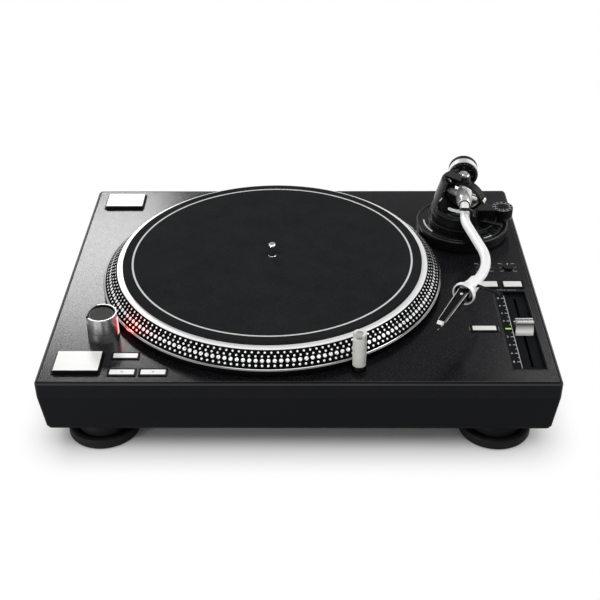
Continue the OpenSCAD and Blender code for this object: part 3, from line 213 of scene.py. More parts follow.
class Paint(Nodes):
    """A material of one Principled shader."""

    def __init__(self, name, color, rough, metallic=0.0, level=0.5):
        self.mat = bpy.data.materials.new(name)
        self.mat.use_nodes = True
        super().__init__(self.mat.node_tree)
        self.out = self.add("ShaderNodeOutputMaterial")
        self.shader = self.add("ShaderNodeBsdfPrincipled")
        self.link(self.shader.outputs["BSDF"], self.out.inputs["Surface"])
        self.put("Base Color", color)
        self.put("Metallic", metallic)
        self.put("Roughness", rough)
        self.put("Specular IOR Level", level)
        self.place = self.add("ShaderNodeTexCoord").outputs["Object"]

    def put(self, socket, value):
        self.shader.inputs[socket].default_value = value

    def color(self, source):
        self.link(source, self.shader.inputs["Base Color"])

    def rough(self, source):
        self.link(source, self.shader.inputs["Roughness"])

    def metal(self, source):
        self.link(source, self.shader.inputs["Metallic"])

    def glows(self, strength, source):
        self.put("Emission Strength", strength)
        self.link(source, self.shader.inputs["Emission Color"])

    def noise(self, scale, detail=2.0, rough=0.5, stretch=None, place=None):
        node = self.add("ShaderNodeTexNoise")
        for key, value in (("Scale", scale), ("Detail", detail), ("Roughness", rough)):
            node.inputs[key].default_value = value
        source = place or self.place
        if stretch:
            mapping = self.add("ShaderNodeMapping")
            mapping.inputs["Scale"].default_value = stretch
            self.link(source, mapping.inputs["Vector"])
            source = mapping.outputs["Vector"]
        self.link(source, node.inputs["Vector"])
        return node.outputs["Fac"]

    def drift(self, noise, low=0.0, high=1.0):
        """A noise spread over the whole way from low to high, as its own values keep near a half."""
        return self.span(noise, 0.3, 0.7, low, high)

    def mix(self, fac, a, b):
        """The colour a where fac is 0, and b where it is 1."""
        node = self.add("ShaderNodeMix", data_type="RGBA")
        for i, value in ((0, fac), (6, a), (7, b)):
            self.feed(node.inputs[i], value)
        return node.outputs[2]

    def blend(self, fac, a, b):
        """The number a where fac is 0, and b where it is 1."""
        node = self.add("ShaderNodeMix", data_type="FLOAT")
        for i, value in ((0, fac), (2, a), (3, b)):
            self.feed(node.inputs[i], value)
        return node.outputs[0]

    def inverse(self, value):
        return self.math("SUBTRACT", 1.0, value)

    def above(self, value, edge, soft=0.1):
        """0 up to the edge, and 1 from a soft step past it."""
        return self.span(value, edge, edge + soft)

    def below(self, value, edge, soft=0.1):
        """1 up to the edge, and 0 from a soft step past it."""
        return self.inverse(self.above(value, edge, soft))

    def between(self, value, low, high, soft=0.1):
        return self.both(self.above(value, low, soft), self.below(value, high, soft))

    def in_mm(self, metres):
        return self.math("MULTIPLY", metres, 1 / MM)

    def distance(self, a, b):
        """Length of the line whose sides are a and b."""
        return self.math("SQRT", self.math("ADD", self.both(a, a), self.both(b, b)))

    def radius(self, centre):
        """Distance from the upright axis through centre, in millimetres."""
        x, y, _ = self.split(self.place)
        dx = self.math("SUBTRACT", self.in_mm(x), centre.x)
        dy = self.math("SUBTRACT", self.in_mm(y), centre.y)
        return self.distance(dx, dy)

    def height(self):
        """Height above the floor, in millimetres."""
        return self.in_mm(self.split(self.place)[2])

    def rise(self):
        """Height above the deck, in millimetres."""
        return self.math("SUBTRACT", self.height(), DECK_Z)

    def off_y(self, y):
        """Distance along the deck's y from a place on it, in millimetres."""
        return self.math("SUBTRACT", self.in_mm(self.split(self.place)[1]), y)

    def along(self, matrix, axis):
        """Distance along an axis of a frame, in millimetres from its origin."""
        direction = (matrix.to_3x3() @ Vector(axis)).normalized()
        node = self.add("ShaderNodeVectorMath", operation="DOT_PRODUCT")
        self.link(self.place, node.inputs[0])
        node.inputs[1].default_value = direction
        return self.math("SUBTRACT", self.in_mm(node.outputs["Value"]), matrix.translation.dot(direction))

    def lean(self):
        """1 on faces that look straight up, 0 on upright ones."""
        return self.split(self.add("ShaderNodeNewGeometry").outputs["Normal"])[2]

    def facing_up(self):
        """1 on faces that look upwards."""
        return self.above(self.lean(), 0.6)

    def slanted(self):
        """1 on faces that lean between upright and flat."""
        up = self.lean()
        return self.both(self.above(up, 0.4), self.below(up, 0.88, 0.06))

    def turned(self, amount):
        """Grooves of a lathe round the object's own upright axis."""
        self.put("Anisotropic", amount)
        self.put("Anisotropic Rotation", 0.25)
        tangent = self.add("ShaderNodeTangent", direction_type="RADIAL", axis="Z")
        self.link(tangent.outputs[0], self.shader.inputs["Tangent"])

    def bump(self, source, strength, depth):
        """Relief of a depth in millimetres."""
        node = self.add("ShaderNodeBump")
        node.inputs["Strength"].default_value = strength
        node.inputs["Distance"].default_value = depth * MM
        self.link(source, node.inputs["Height"])
        self.link(node.outputs["Normal"], self.shader.inputs["Normal"])


def plastic(name, tone, rough, level=0.2, grain=1500.0, depth=0.04, spread=0.25):
    """Moulded or printed surface with a fine grain."""
    p = Paint(name, tone, rough=rough, level=level)
    p.color(p.mix(p.noise(90.0, 3.0), shade(tone, -spread), shade(tone, spread)))
    grains = p.noise(grain)
    p.rough(p.drift(grains, max(0.02, rough - 0.07), rough + 0.08))
    if depth:
        p.bump(grains, 0.5, depth)
    return p.mat


def metal(name, tone, rough, brush, spread, wear=0.06, metallic=1.0):
    """Metal whose tone and polish drift along its brush marks."""
    p = Paint(name, tone, metallic=metallic, rough=rough)
    lines = p.noise(40.0, 3.0, stretch=brush)
    p.color(p.mix(lines, shade(tone, -spread), shade(tone, spread)))
    p.rough(p.drift(lines, max(0.02, rough - wear), rough + wear))
    p.bump(lines, 0.12, 0.02)
    return p.mat


def faceplate_paint():
    """Dark textured paint with fine pale specks."""
    p = Paint("faceplate_paint", linear(18, 18, 20), rough=0.24, level=0.2)
    speck = p.noise(1500.0, 2.0, 0.7)
    coarse = p.noise(700.0, 3.0, 0.7)
    fac = p.both(p.span(speck, 0.5, 0.75), p.span(coarse, 0.35, 0.65, 0.2, 1.0))
    p.color(p.mix(fac, linear(13, 13, 15), linear(62, 63, 70)))
    p.rough(p.span(coarse, 0.35, 0.65, 0.15, 0.24))
    p.bump(speck, 0.5, 0.06)
    return p.mat


def frame_paint():
    """Satin black, with a painted highlight along the bevel."""
    p = Paint("frame_paint", linear(16, 16, 18), rough=0.34, level=0.07)
    bevel_top = DECK_Z - 0.9
    speck = p.noise(1600.0, 2.0, 0.6)
    face = p.mix(p.span(speck, 0.45, 0.8), linear(13, 14, 16), linear(28, 28, 31))
    # Painted highlight: the slanted faces of the bevel get a lighter grey than the flat face.
    edge = p.mix(speck, linear(46, 47, 50), linear(60, 61, 64))
    p.color(p.mix(p.both(p.slanted(), p.below(p.height(), bevel_top, 0.3)), face, edge))
    p.rough(p.drift(speck, 0.3, 0.42))
    p.bump(speck, 0.3, 0.05)
    return p.mat


def base_paint():
    """Dull black of the tub."""
    p = Paint("base_paint", linear(16, 16, 18), rough=0.6, level=0.04)
    grain = p.noise(1300.0, 3.0, 0.6)
    p.color(p.mix(grain, linear(14, 15, 17), linear(24, 25, 27)))
    p.rough(p.drift(grain, 0.5, 0.7))
    p.bump(grain, 0.5, 0.08)
    return p.mat


def platter_paint():
    """Turned and polished rims, and a dark speckled band between them. The upper rim's near white, almost
    unmetallic colour is a painted reflection.
    """
    p = Paint("platter_paint", linear(180, 180, 182), metallic=1.0, rough=0.2, level=0.0)
    band_in, band_out = 151.7, 164.0
    skirt_top, rim_z = 7.3, 20.1
    grooves_per_mm = 2.6
    r = p.radius(SPINDLE)
    h = p.rise()
    dark = p.either(p.between(r, band_in, band_out, 0.2), p.below(h, skirt_top))
    rim = p.above(h, rim_z, 0.2)
    grooves = p.add("ShaderNodeCombineXYZ")
    p.link(p.math("MULTIPLY", r, grooves_per_mm), grooves.inputs[0])
    p.link(p.math("MULTIPLY", h, grooves_per_mm), grooves.inputs[2])
    lines = p.noise(1.0, 4.0, 0.7, place=grooves.outputs[0])
    speck = p.noise(1500.0, 2.0, 0.6)
    bright = p.mix(p.drift(lines), (0.5, 0.5, 0.51, 1), (0.68, 0.68, 0.68, 1))
    # Painted reflection: the upper rim gets a near white colour and almost no metal, so it looks as bright as
    # a polished rim from every side.
    bright = p.mix(rim, bright, p.mix(lines, (0.84, 0.84, 0.84, 1), (1.0, 1.0, 1.0, 1)))
    black = p.mix(p.span(speck, 0.55, 0.8), linear(10, 10, 11), linear(44, 44, 47))
    p.color(p.mix(dark, bright, black))
    p.metal(p.blend(dark, p.blend(rim, 1.0, 0.08), 0.0))
    p.rough(p.blend(dark, p.drift(lines, 0.12, 0.22), 0.45))
    p.bump(p.math("MULTIPLY", p.blend(dark, lines, p.math("MULTIPLY", speck, 0.6)), 0.2), 1.0, 0.02)
    return p.mat


def dot_metal():
    """Pale dots, partly dull, so that they catch the light from above more than the floor's."""
    p = Paint("dot_metal", (0.9, 0.9, 0.9, 1), metallic=0.7, rough=0.3, level=0.3)
    lines = p.noise(700.0)
    p.color(p.mix(lines, (0.8, 0.8, 0.81, 1), (0.9, 0.9, 0.91, 1)))
    p.rough(p.drift(lines, 0.24, 0.34))
    return p.mat


def felt():
    """Pressed felt with a printed ring near the rim."""
    p = Paint("felt", linear(34, 35, 36), rough=0.95, level=0.03)
    ring_in, ring_out = 135.3, 137.1
    p.put("Sheen Weight", 0.02)
    p.put("Sheen Roughness", 0.6)
    fibre = p.noise(900.0, 4.0, 0.7)
    cloud = p.noise(35.0, 3.0, 0.6)
    tone = p.math("ADD", p.math("MULTIPLY", fibre, 0.7), p.math("MULTIPLY", cloud, 0.3))
    base = p.mix(p.drift(tone), linear(18, 19, 20), linear(39, 40, 42))
    ring = p.both(p.between(p.radius(SPINDLE), ring_in, ring_out, 0.2), p.span(fibre, 0.3, 0.6, 0.8, 1.0))
    p.color(p.mix(ring, base, linear(218, 219, 217)))
    p.bump(fibre, 0.8, 0.22)
    return p.mat


def key_paint(name, split_at):
    """White cap on a black body; split_at is the height of the joint above the deck."""
    p = Paint(name, linear(238, 238, 240), rough=0.3, level=0.4)
    white = p.mix(p.noise(60.0), linear(233, 233, 230), linear(241, 241, 238))
    p.color(p.mix(p.above(p.rise(), split_at, 0.05), linear(14, 14, 15), white))
    grain = p.noise(1800.0)
    p.rough(p.drift(grain, 0.26, 0.36))
    p.bump(grain, 0.15, 0.02)
    return p.mat


def strobe_metal():
    """Turned satin cylinder with a bright thin lip round a dark well."""
    p = Paint("strobe_metal", linear(150, 151, 153), metallic=1.0, rough=0.36, level=0.2)
    lip_in, bore, foot_top = 13.05, 12.3, 12.0
    r = p.radius(STROBE)
    up = p.facing_up()
    high = p.above(p.rise(), foot_top, 1.0)
    outer = p.above(r, lip_in, 0.15)
    lip = p.both(up, high, outer)
    well = p.either(p.both(up, p.inverse(outer)), p.both(up, p.inverse(high)), p.below(r, bore))
    lines = p.noise(60.0, 3.0, 0.6, stretch=(0.4, 0.4, 30.0))
    side = p.mix(lines, (0.52, 0.52, 0.53, 1), (0.62, 0.62, 0.63, 1))
    side = p.mix(lip, side, (0.6, 0.6, 0.61, 1))
    p.color(p.mix(well, side, linear(14, 14, 15)))
    p.metal(p.inverse(well))
    p.rough(p.blend(lip, p.drift(lines, 0.27, 0.34), 0.4))
    p.turned(0.5)
    return p.mat


def led_paint():
    """Small green lamp that lights by itself, a little dimmer in places."""
    p = Paint("green_led", linear(120, 170, 60), rough=0.2, level=0.5)
    tone = linear(176, 214, 92)
    p.glows(0.75, p.mix(p.noise(300.0, 1.0), shade(tone, -0.15), tone))
    return p.mat


def lens_paint():
    """Red window, almost white in the middle where the lamp stands behind it."""
    p = Paint("red_window", linear(150, 20, 16), rough=0.15, level=0.5)
    core, fade = 1.4, 1.6
    side = p.math("ABSOLUTE", p.off_y(middle("strobe_lens").y))
    side = p.math("ADD", side, p.math("MULTIPLY", p.noise(400.0), 0.4))
    p.glows(1.2, p.mix(p.above(side, core, fade), (1.0, 0.62, 0.6, 1), (0.55, 0.03, 0.03, 1)))
    return p.mat


def weight_paint():
    """Polished front band and a black ribbed grip at the back."""
    p = Paint("weight_paint", (0.8, 0.8, 0.81, 1), metallic=1.0, rough=0.16, level=0.1)
    grip_start = 54.1
    grip = p.above(p.along(ARM, (0, 1, 0)), grip_start)
    lines = p.noise(200.0, 3.0)
    bright = p.mix(lines, (0.84, 0.84, 0.85, 1), (0.94, 0.94, 0.95, 1))
    p.color(p.mix(grip, bright, linear(13, 13, 14)))
    p.metal(p.blend(grip, 0.7, 0.0))
    p.rough(p.blend(grip, p.drift(lines, 0.1, 0.2), 0.5))
    return p.mat


def head_paint():
    """Gloss black head in a silver cup, with a silver screw. The finger lift beside the cup is black."""
    p = Paint("head_paint", linear(10, 10, 11), rough=0.14, level=0.3)
    cup_end, cup_in, socket_end = 28.6, 9.25, 23.2
    screw_x, screw_s, screw_r, screw_y = 1.2, 34.5, 1.3, 4.2
    lift_x, lift_end = 8.2, 21.0
    x, y, s = (p.along(HEAD, axis) for axis in ((1, 0, 0), (0, 1, 0), (0, 0, 1)))
    cup = p.either(p.both(p.below(s, cup_end), p.above(p.distance(x, y), cup_in)), p.below(s, socket_end))
    spot = p.distance(p.math("SUBTRACT", x, screw_x), p.math("SUBTRACT", s, screw_s))
    screw = p.both(p.below(spot, screw_r, 0.05), p.above(y, screw_y))
    lifter = p.both(p.above(x, lift_x), p.below(s, lift_end))
    silver = p.either(p.both(cup, p.inverse(lifter)), screw)
    lines = p.noise(400.0, 3.0)
    p.color(p.mix(silver, p.mix(lines, linear(8, 8, 9), linear(14, 14, 15)), (0.92, 0.92, 0.92, 1)))
    p.metal(p.blend(silver, 0.0, 0.3))
    p.rough(p.blend(silver, p.drift(lines, 0.14, 0.2), 0.32))
    return p.mat


def nose_paint():
    """White stylus cover with a dark underside and needle holder."""
    p = Paint("nose_paint", linear(236, 236, 232), rough=0.3, level=0.4)
    under, nose_end, tip = -8.0, 73.2, -10.6
    y = p.along(HEAD, (0, 1, 0))
    cover = p.both(p.above(y, under), p.below(p.along(HEAD, (0, 0, 1)), nose_end))
    white = p.either(cover, p.below(y, tip))
    lines = p.noise(500.0)
    p.color(p.mix(white, linear(20, 20, 21), p.mix(lines, linear(228, 228, 226), linear(240, 240, 238))))
    p.rough(p.drift(lines, 0.25, 0.35))
    return p.mat


def knob_paint():
    """Matt black disc with a thin pale ring let into it."""
    p = Paint("knob_paint", linear(30, 30, 30), rough=0.6, level=0.15)
    ring_in, ring_out, rim, face_z = 10.1, 10.7, 10.8, 23.0
    r = p.radius(STROBE)
    ring = p.both(p.between(r, ring_in, ring_out), p.above(p.rise(), face_z))
    grain = p.noise(1400.0)
    disc = p.mix(grain, linear(40, 40, 39), linear(54, 54, 52))
    disc = p.mix(p.above(r, rim), disc, linear(12, 12, 12))
    p.color(p.mix(ring, disc, linear(118, 118, 116)))
    p.rough(p.drift(grain, 0.5, 0.65))
    p.bump(grain, 0.3, 0.04)
    return p.mat


def fader_paint():
    """Polished cap. Its hollow front is not metal and carries a painted shade under the top edge that turns
    into a painted reflection at the foot.
    """
    p = Paint("fader_paint", (0.84, 0.84, 0.83, 1), metallic=1.0, rough=0.2)
    front_y, slot_low, slot_high = -3.9, 0.5, 1.8
    depth = p.math("SUBTRACT", top_of("pitch_fader"), p.height())
    y = p.off_y(middle("pitch_fader").y)
    lines = p.noise(120.0, 3.0, stretch=(0.3, 6.0, 6.0))
    front = p.both(p.below(y, front_y), p.above(depth, 1.0))
    slot = p.both(p.between(y, slot_low, slot_high, 0.2), p.below(depth, 0.9))
    # Painted shade and reflection: the front runs from near black under the top edge to white at the foot.
    painted_front_shading = p.mix(p.span(depth, 1.8, 8.0), (0.02, 0.02, 0.018, 1), (1.0, 1.0, 0.99, 1))
    top = p.mix(lines, (0.52, 0.52, 0.51, 1), (0.64, 0.64, 0.63, 1))
    p.color(p.mix(slot, p.mix(front, top, painted_front_shading), (0.03, 0.03, 0.03, 1)))
    p.metal(p.blend(p.either(front, slot), 0.95, 0.0))
    p.rough(p.drift(lines, 0.16, 0.22))
    return p.mat


def lamp_paint():
    """Pale target lamp on a dark foot, with a greyer middle on its top. The rest of the top is painted paler,
    as a highlight.
    """
    p = Paint("lamp_paint", linear(205, 205, 200), rough=0.3, level=0.5)
    foot_top, spot_r = 6.0, 3.0
    up = p.facing_up()
    cloud = p.noise(120.0)
    body = p.mix(cloud, linear(184, 185, 180), linear(200, 200, 194))
    # Painted highlight: faces that look up are made paler than the sides.
    body = p.mix(up, body, linear(226, 227, 224))
    body = p.mix(p.both(up, p.below(p.radius(LAMP), spot_r, 0.2)), body, linear(150, 151, 148))
    p.color(p.mix(p.above(p.rise(), foot_top, 0.2), linear(16, 16, 17), body))
    p.rough(p.drift(cloud, 0.24, 0.34))
    return p.mat


def satin_white():
    """Bright satin alloy of the arm's tube, the lock collar and the lift bar."""
    p = Paint("satin_alloy", (0.93, 0.93, 0.94, 1), metallic=0.05, rough=0.3, level=0.5)
    p.color(p.mix(p.noise(70.0, 3.0), (0.9, 0.9, 0.91, 1), (0.97, 0.97, 0.98, 1)))
    grain = p.noise(1600.0)
    p.rough(p.drift(grain, 0.26, 0.36))
    p.bump(grain, 0.2, 0.01)
    return p.mat


def board_paint():
    """Green lacquer of the circuit board."""
    p = Paint("board_paint", linear(18, 74, 42), rough=0.4, level=0.4)
    cells = p.add("ShaderNodeTexVoronoi")
    cells.inputs["Scale"].default_value = 260.0
    p.link(p.place, cells.inputs["Vector"])
    near = cells.outputs["Distance"]
    p.color(p.mix(p.span(near, 0.2, 0.5), linear(20, 88, 50), linear(14, 60, 34)))
    p.bump(near, 0.2, 0.05)
    return p.mat


def ink(name, tone, spread=0.06):
    """Flat matt print."""
    return plastic(name, tone, rough=0.5, depth=0.0, spread=spread)


WHITE_INK = ink("white_ink", linear(226, 226, 226), 0.04)
SOFT_INK = ink("soft_ink", linear(168, 168, 168))
GREY_INK = ink("grey_ink", linear(120, 121, 123))
DARK_INK = ink("dark_ink", linear(120, 120, 124))
BLACK = plastic("black_plastic", linear(16, 16, 17), rough=0.3)
BLACK_GLOSS = plastic("black_gloss", linear(10, 10, 11), rough=0.14, level=0.35, depth=0.0)
BLACK_SATIN = plastic("black_satin", linear(16, 17, 18), rough=0.26, level=0.25, grain=1200.0, depth=0.02)
RUBBER = plastic("rubber", linear(22, 22, 24), rough=0.6, level=0.1, grain=900.0, depth=0.06)
FRAME_BLACK = plastic("frame_black", linear(9, 9, 10), rough=0.5, level=0.08, depth=0.02)
PANEL = plastic("pitch_panel", linear(20, 21, 24), rough=0.35, level=0.03, grain=1700.0, depth=0.02)
# Pale grey of thin strips that are painted highlights on edges.
EDGE_HIGHLIGHT = plastic("painted_edge_highlight", linear(84, 85, 88), rough=0.35, level=0.3, depth=0.0, spread=0.2)
SWITCH_WHITE = plastic("switch_white", linear(236, 236, 232), rough=0.25, level=0.45, depth=0.0, spread=0.03)
BOARD_DARK = plastic("slide_pot", linear(12, 15, 14), rough=0.5, grain=800.0, depth=0.05)
DARK_STEEL = plastic("dark_steel", linear(52, 52, 54), rough=0.5, level=0.4, grain=1100.0, depth=0.05)
MAGNET = plastic("magnet", linear(70, 70, 74), rough=0.6, level=0.3, grain=500.0, depth=0.05)
STEEL = metal("zinc_steel", (0.55, 0.55, 0.57, 1), 0.32, (30, 30, 30), 0.15)
CHROME = metal("chrome", (0.9, 0.9, 0.91, 1), 0.07, (20, 20, 20), 0.03, 0.03)
SILVER = metal("satin_silver", (0.88, 0.88, 0.89, 1), 0.24, (6, 60, 60), 0.05)
BRASS = metal("gold_plate", (0.86, 0.66, 0.32, 1), 0.2, (30, 30, 30), 0.06)
CAST = metal("cast_metal", (0.5, 0.5, 0.52, 1), 0.5, (8, 8, 8), 0.2, 0.12)
COPPER = metal("copper_core", (0.6, 0.32, 0.2, 1), 0.4, (8, 8, 120), 0.25)
CORE = metal("core_steel", (0.42, 0.38, 0.32, 1), 0.45, (8, 8, 160), 0.3)
HUB = metal("hub_alloy", (0.9, 0.89, 0.85, 1), 0.2, (10, 10, 10), 0.05, 0.05, 0.65)
BEARING = metal("bearing_cap", (0.8, 0.78, 0.7, 1), 0.22, (30, 30, 30), 0.06)
SATIN = satin_white()


# Meshes

def circle(sides):
    """Angles of points round a circle."""
    return [2 * math.pi * i / sides for i in range(sides)]


class Shape:
    """Faces in millimetres, made into one object at the end."""

    def __init__(self):
        self.bm = bmesh.new()

    def point(self, x, y, z, matrix=Matrix.Identity(4)):
        return self.bm.verts.new(matrix @ Vector((x, y, z)))

    def face(self, points):
        self.bm.faces.new(points)

    def wrap(self, rings):
        """Faces between closed rings that have the same number of points."""
        for one, two in zip(rings, rings[1:]):
            for i in range(len(one)):
                j = (i + 1) % len(one)
                self.face((one[i], one[j], two[j], two[i]))

    def turned(self, profile, steps, matrix, start=0.0, sweep=360.0):
        """A profile of (radius, height) turned about z. For a part of a turn it ends where it starts."""
        full = sweep == 360
        count = steps if full else steps + 1
        rings = []
        for i in range(count):
            a = math.radians(start + sweep * i / steps)
            c, s = math.cos(a), math.sin(a)
            rings.append([self.point(r * c, r * s, z, matrix) for r, z in profile])
        for i in range(steps):
            one, two = rings[i], rings[(i + 1) % count]
            for j in range(len(profile) - 1):
                self.face((one[j], two[j], two[j + 1], one[j + 1]))
        if not full:
            self.face(rings[0][:-1])
            self.face(rings[-1][:-1])
        return self

    def bar(self, centre, size, matrix=Matrix.Identity(4), chamfer=0.0):
        """A box given by its middle and its size, with its upright edges cut by chamfer."""
        w, d, h = (s / 2 for s in size)
        outline = [(-w, -d), (w, -d), (w, d), (-w, d)]
        if chamfer:
            x, y = w - chamfer, d - chamfer
            outline = [(-x, -d), (x, -d), (w, -y), (w, y), (x, d), (-x, d), (-w, y), (-w, -y)]
        at = matrix @ Matrix.Translation(Vector(centre))
        low, high = ([self.point(x, y, z, at) for x, y in outline] for z in (-h, h))
        self.face(low[::-1])
        self.face(high)
        self.wrap([low, high])
        return self

    def dome(self, radius, rise, matrix, sides, skirt=0.25):
        """A low round dot that stands on a surface whose normal is the matrix's z."""
        rings = []
        for r, z in ((1.0, -skirt), (1.0, 0.35 * rise), (0.86, 0.8 * rise), (0.5, rise)):
            r *= radius
            rings.append([self.point(r * math.cos(a), r * math.sin(a), z, matrix) for a in circle(sides)])
        self.wrap(rings)
        self.face(rings[-1])
        return self

    def tube(self, path, radii, sides):
        """A round tube along points, with a radius for each."""
        rings = []
        normal = None
        for i, p in enumerate(path):
            forward = (path[min(i + 1, len(path) - 1)] - path[max(i - 1, 0)]).normalized()
            if normal is None:
                normal = forward.orthogonal().normalized()
            normal = (normal - forward * normal.dot(forward)).normalized()
            side = forward.cross(normal)
            ring = (p + radii[i] * (math.cos(a) * normal + math.sin(a) * side) for a in circle(sides))
            rings.append([self.point(*at) for at in ring])
        self.wrap(rings)
        self.face(rings[0][::-1])
        self.face(rings[-1])
        return self

    def as_object(self, name, material, smooth=40.0):
        """The shape in metres. Its edges are sharp where the faces turn by more than smooth degrees."""
        bm = self.bm
        bmesh.ops.recalc_face_normals(bm, faces=bm.faces[:])
        for v in bm.verts:
            v.co *= MM
        for e in bm.edges:
            if len(e.link_faces) == 2 and e.calc_face_angle(0.0) > math.radians(smooth):
                e.smooth = False
        for f in bm.faces:
            f.smooth = True
        mesh = bpy.data.meshes.new(name)
        bm.to_mesh(mesh)
        bm.free()
        mesh.materials.append(material)
        obj = bpy.data.objects.new(name, mesh)
        scene.collection.objects.link(obj)
        return obj

    def made(self, name, material, body, slot, smooth=40.0):
        """The shape as a piece that rides on a body of the frame."""
        obj = self.as_object(name, material, smooth)
        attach(obj, body)
        return obj


# Printed marks lie with their middle just above the surface, so that their undersides sink into it
INK_LOW, INK_HIGH = -0.02, 0.06
INK_T = INK_HIGH - INK_LOW
INK_MID = (INK_LOW + INK_HIGH) / 2
NUMBER_RISE = 0.03


def lettering(name, items, material, body, slot, depth=INK_T):
    """Numbers as thin solids. Each item is (text, size, matrix); the text lies in the matrix's xy plane."""
    shape = Shape()
    for text, size, matrix in items:
        curve = bpy.data.curves.new("mark", "FONT")
        curve.body = text
        curve.size = size
        curve.align_x = "CENTER"
        curve.align_y = "CENTER"
        curve.extrude = depth / 2
        curve.resolution_u = 3
        obj = bpy.data.objects.new("mark", curve)
        scene.collection.objects.link(obj)
        bpy.context.view_layer.update()
        mesh = bpy.data.meshes.new_from_object(obj.evaluated_get(bpy.context.evaluated_depsgraph_get()))
        mesh.transform(matrix)
        shape.bm.from_mesh(mesh)
        bpy.data.objects.remove(obj)
        bpy.data.curves.remove(curve)
        bpy.data.meshes.remove(mesh)
    return shape.made(name, material, body, slot)


def strips(name, rows, z, material, body, slot):
    """Each row is (x0, y0, x1, y1)."""
    shape = Shape()
    for x0, y0, x1, y1 in rows:
        shape.bar(((x0 + x1) / 2, (y0 + y1) / 2, z + INK_MID), (abs(x1 - x0), abs(y1 - y0), INK_T))
    return shape.made(name, material, body, slot)


def spokes(name, centre, z, angles, r0, r1, width, material, body, slot):
    """Short bars that point away from a centre, from radius r0 to r1."""
    shape = Shape()
    for a in angles:
        shape.bar(((r0 + r1) / 2, 0, 0), (r1 - r0, width, INK_T), upright(centre.x, centre.y, z + INK_MID, a))
    return shape.made(name, material, body, slot)


def arcs(name, centre, z, rows, material, body, slot):
    """Each row is (inner radius, outer radius, from, to), with angles in degrees."""
    shape = Shape()
    for r0, r1, a0, a1 in rows:
        profile = [(r0, INK_LOW), (r1, INK_LOW), (r1, INK_HIGH), (r0, INK_HIGH), (r0, INK_LOW)]
        sweep = a1 - a0
        steps = max(8, int(sweep / 3))
        shape.turned(profile, steps, move(centre.x, centre.y, z), start=a0, sweep=sweep)
    return shape.made(name, material, body, slot)


# CAD nodes get their finishes

# The white part of the start keys, and the height above the deck where that of the small keys starts
START_CAP_T = 0.38
SMALL_KEY_SPLIT = 0.62

FINISH = {
    "top_shell": frame_paint(),
    "faceplate": faceplate_paint(),
    "lower_base": base_paint(),
    "base_plate": DARK_STEEL,
    "base_screws": STEEL,
    "bearing_housing": CAST,
    "stator": COPPER,
    "main_board": board_paint(),
    "controls_board": BOARD_DARK,
    "transformer": CORE,
    "mains_inlet": BLACK,
    "jack_panel": PANEL,
    "output_jacks": BRASS,
    "pitch_plate": PANEL,
    "key_frames": FRAME_BLACK,
    "strobe_housing": strobe_metal(),
    "strobe_lens": lens_paint(),
    "lamp_sleeve": BLACK,
    "arm_base": BLACK_SATIN,
    "platter": platter_paint(),
    "rotor_magnet": MAGNET,
    "spindle": CHROME,
    "power_knob": knob_paint(),
    "trim_knob_a": BLACK,
    "trim_knob_b": BLACK,
    "pitch_fader": fader_paint(),
    "target_lamp": lamp_paint(),
    "line_switch": SWITCH_WHITE,
    "ground_nut": BRASS,
    "height_ring": BLACK_SATIN,
    "arm_column": BLACK_SATIN,
    "arm_tower": BLACK_SATIN,
    "pivot_cap": CHROME,
    "anti_skate_dial": FRAME_BLACK,
    "lift_guide": BLACK_SATIN,
    "lift_bar": SATIN,
    "cue_lever": BLACK,
    "arm_clamp": BLACK,
    "gimbal": BLACK_SATIN,
    "arm_hub": SILVER,
    "arm_tube": SATIN,
    "rear_shaft": STEEL,
    "counterweight": weight_paint(),
    "weight_dial": FRAME_BLACK,
    "lock_collar": SATIN,
    "pickup": head_paint(),
    "stylus": nose_paint(),
    "slipmat": felt(),
}
SMALL_KEYS = ("key_33", "key_45", "key_reverse", "key_reset", "key_range_a", "key_range_b")
START_SPLIT = top_of("start_front") - DECK_Z - START_CAP_T
FINISH.update(dict.fromkeys(("start_front", "start_rear"), key_paint("start_key_paint", START_SPLIT)))
FINISH.update(dict.fromkeys(SMALL_KEYS, key_paint("small_key_paint", SMALL_KEY_SPLIT)))
FINISH.update(dict.fromkeys(("foot_fl", "foot_fr", "foot_rl", "foot_rr"), RUBBER))

for name, obj in nodes.items():
    if not obj.material_slots:
        obj.data.materials.append(FINISH[name])
    for held in obj.material_slots:
        held.material = FINISH[name]


# Rows of dots on the platter's slanted band, measured from the band's upper edge

BAND_R, BAND_Z = 152.9, 19.2
BAND_RUN, BAND_FALL = 11.0, 10.8
BAND_SLOPE = math.degrees(math.atan2(BAND_FALL, BAND_RUN))
FIRST_DOT_DEG = -89.5
DOT_RISE = 0.22
DOT = dot_metal()


def dot_row(name, share, count, radius, shift=0.0):
    """Dots at a share of the way down the band, moved round it by a share of their own pitch."""
    r = BAND_R + BAND_RUN * share
    z = DECK_Z + BAND_Z - BAND_FALL * share
    shape = Shape()
    for i in range(count):
        place = upright(SPINDLE.x, SPINDLE.y, z, FIRST_DOT_DEG + 360 * (i + shift) / count)
        shape.dome(radius, DOT_RISE, place @ move(r) @ spin(BAND_SLOPE, "Y"), 12 if radius < 1.5 else 16)
    return shape.made(name, DOT, "turntable", "platter_metal")


dot_row("dots_top", 0.06, 170, 0.98, 0.45)
dot_row("dots_second", 0.275, 174, 1.0)
dot_row("dots_large", 0.53, 180, 1.8)
dot_row("dots_low", 0.81, 186, 1.08)


# Felt mat that lies on the platter

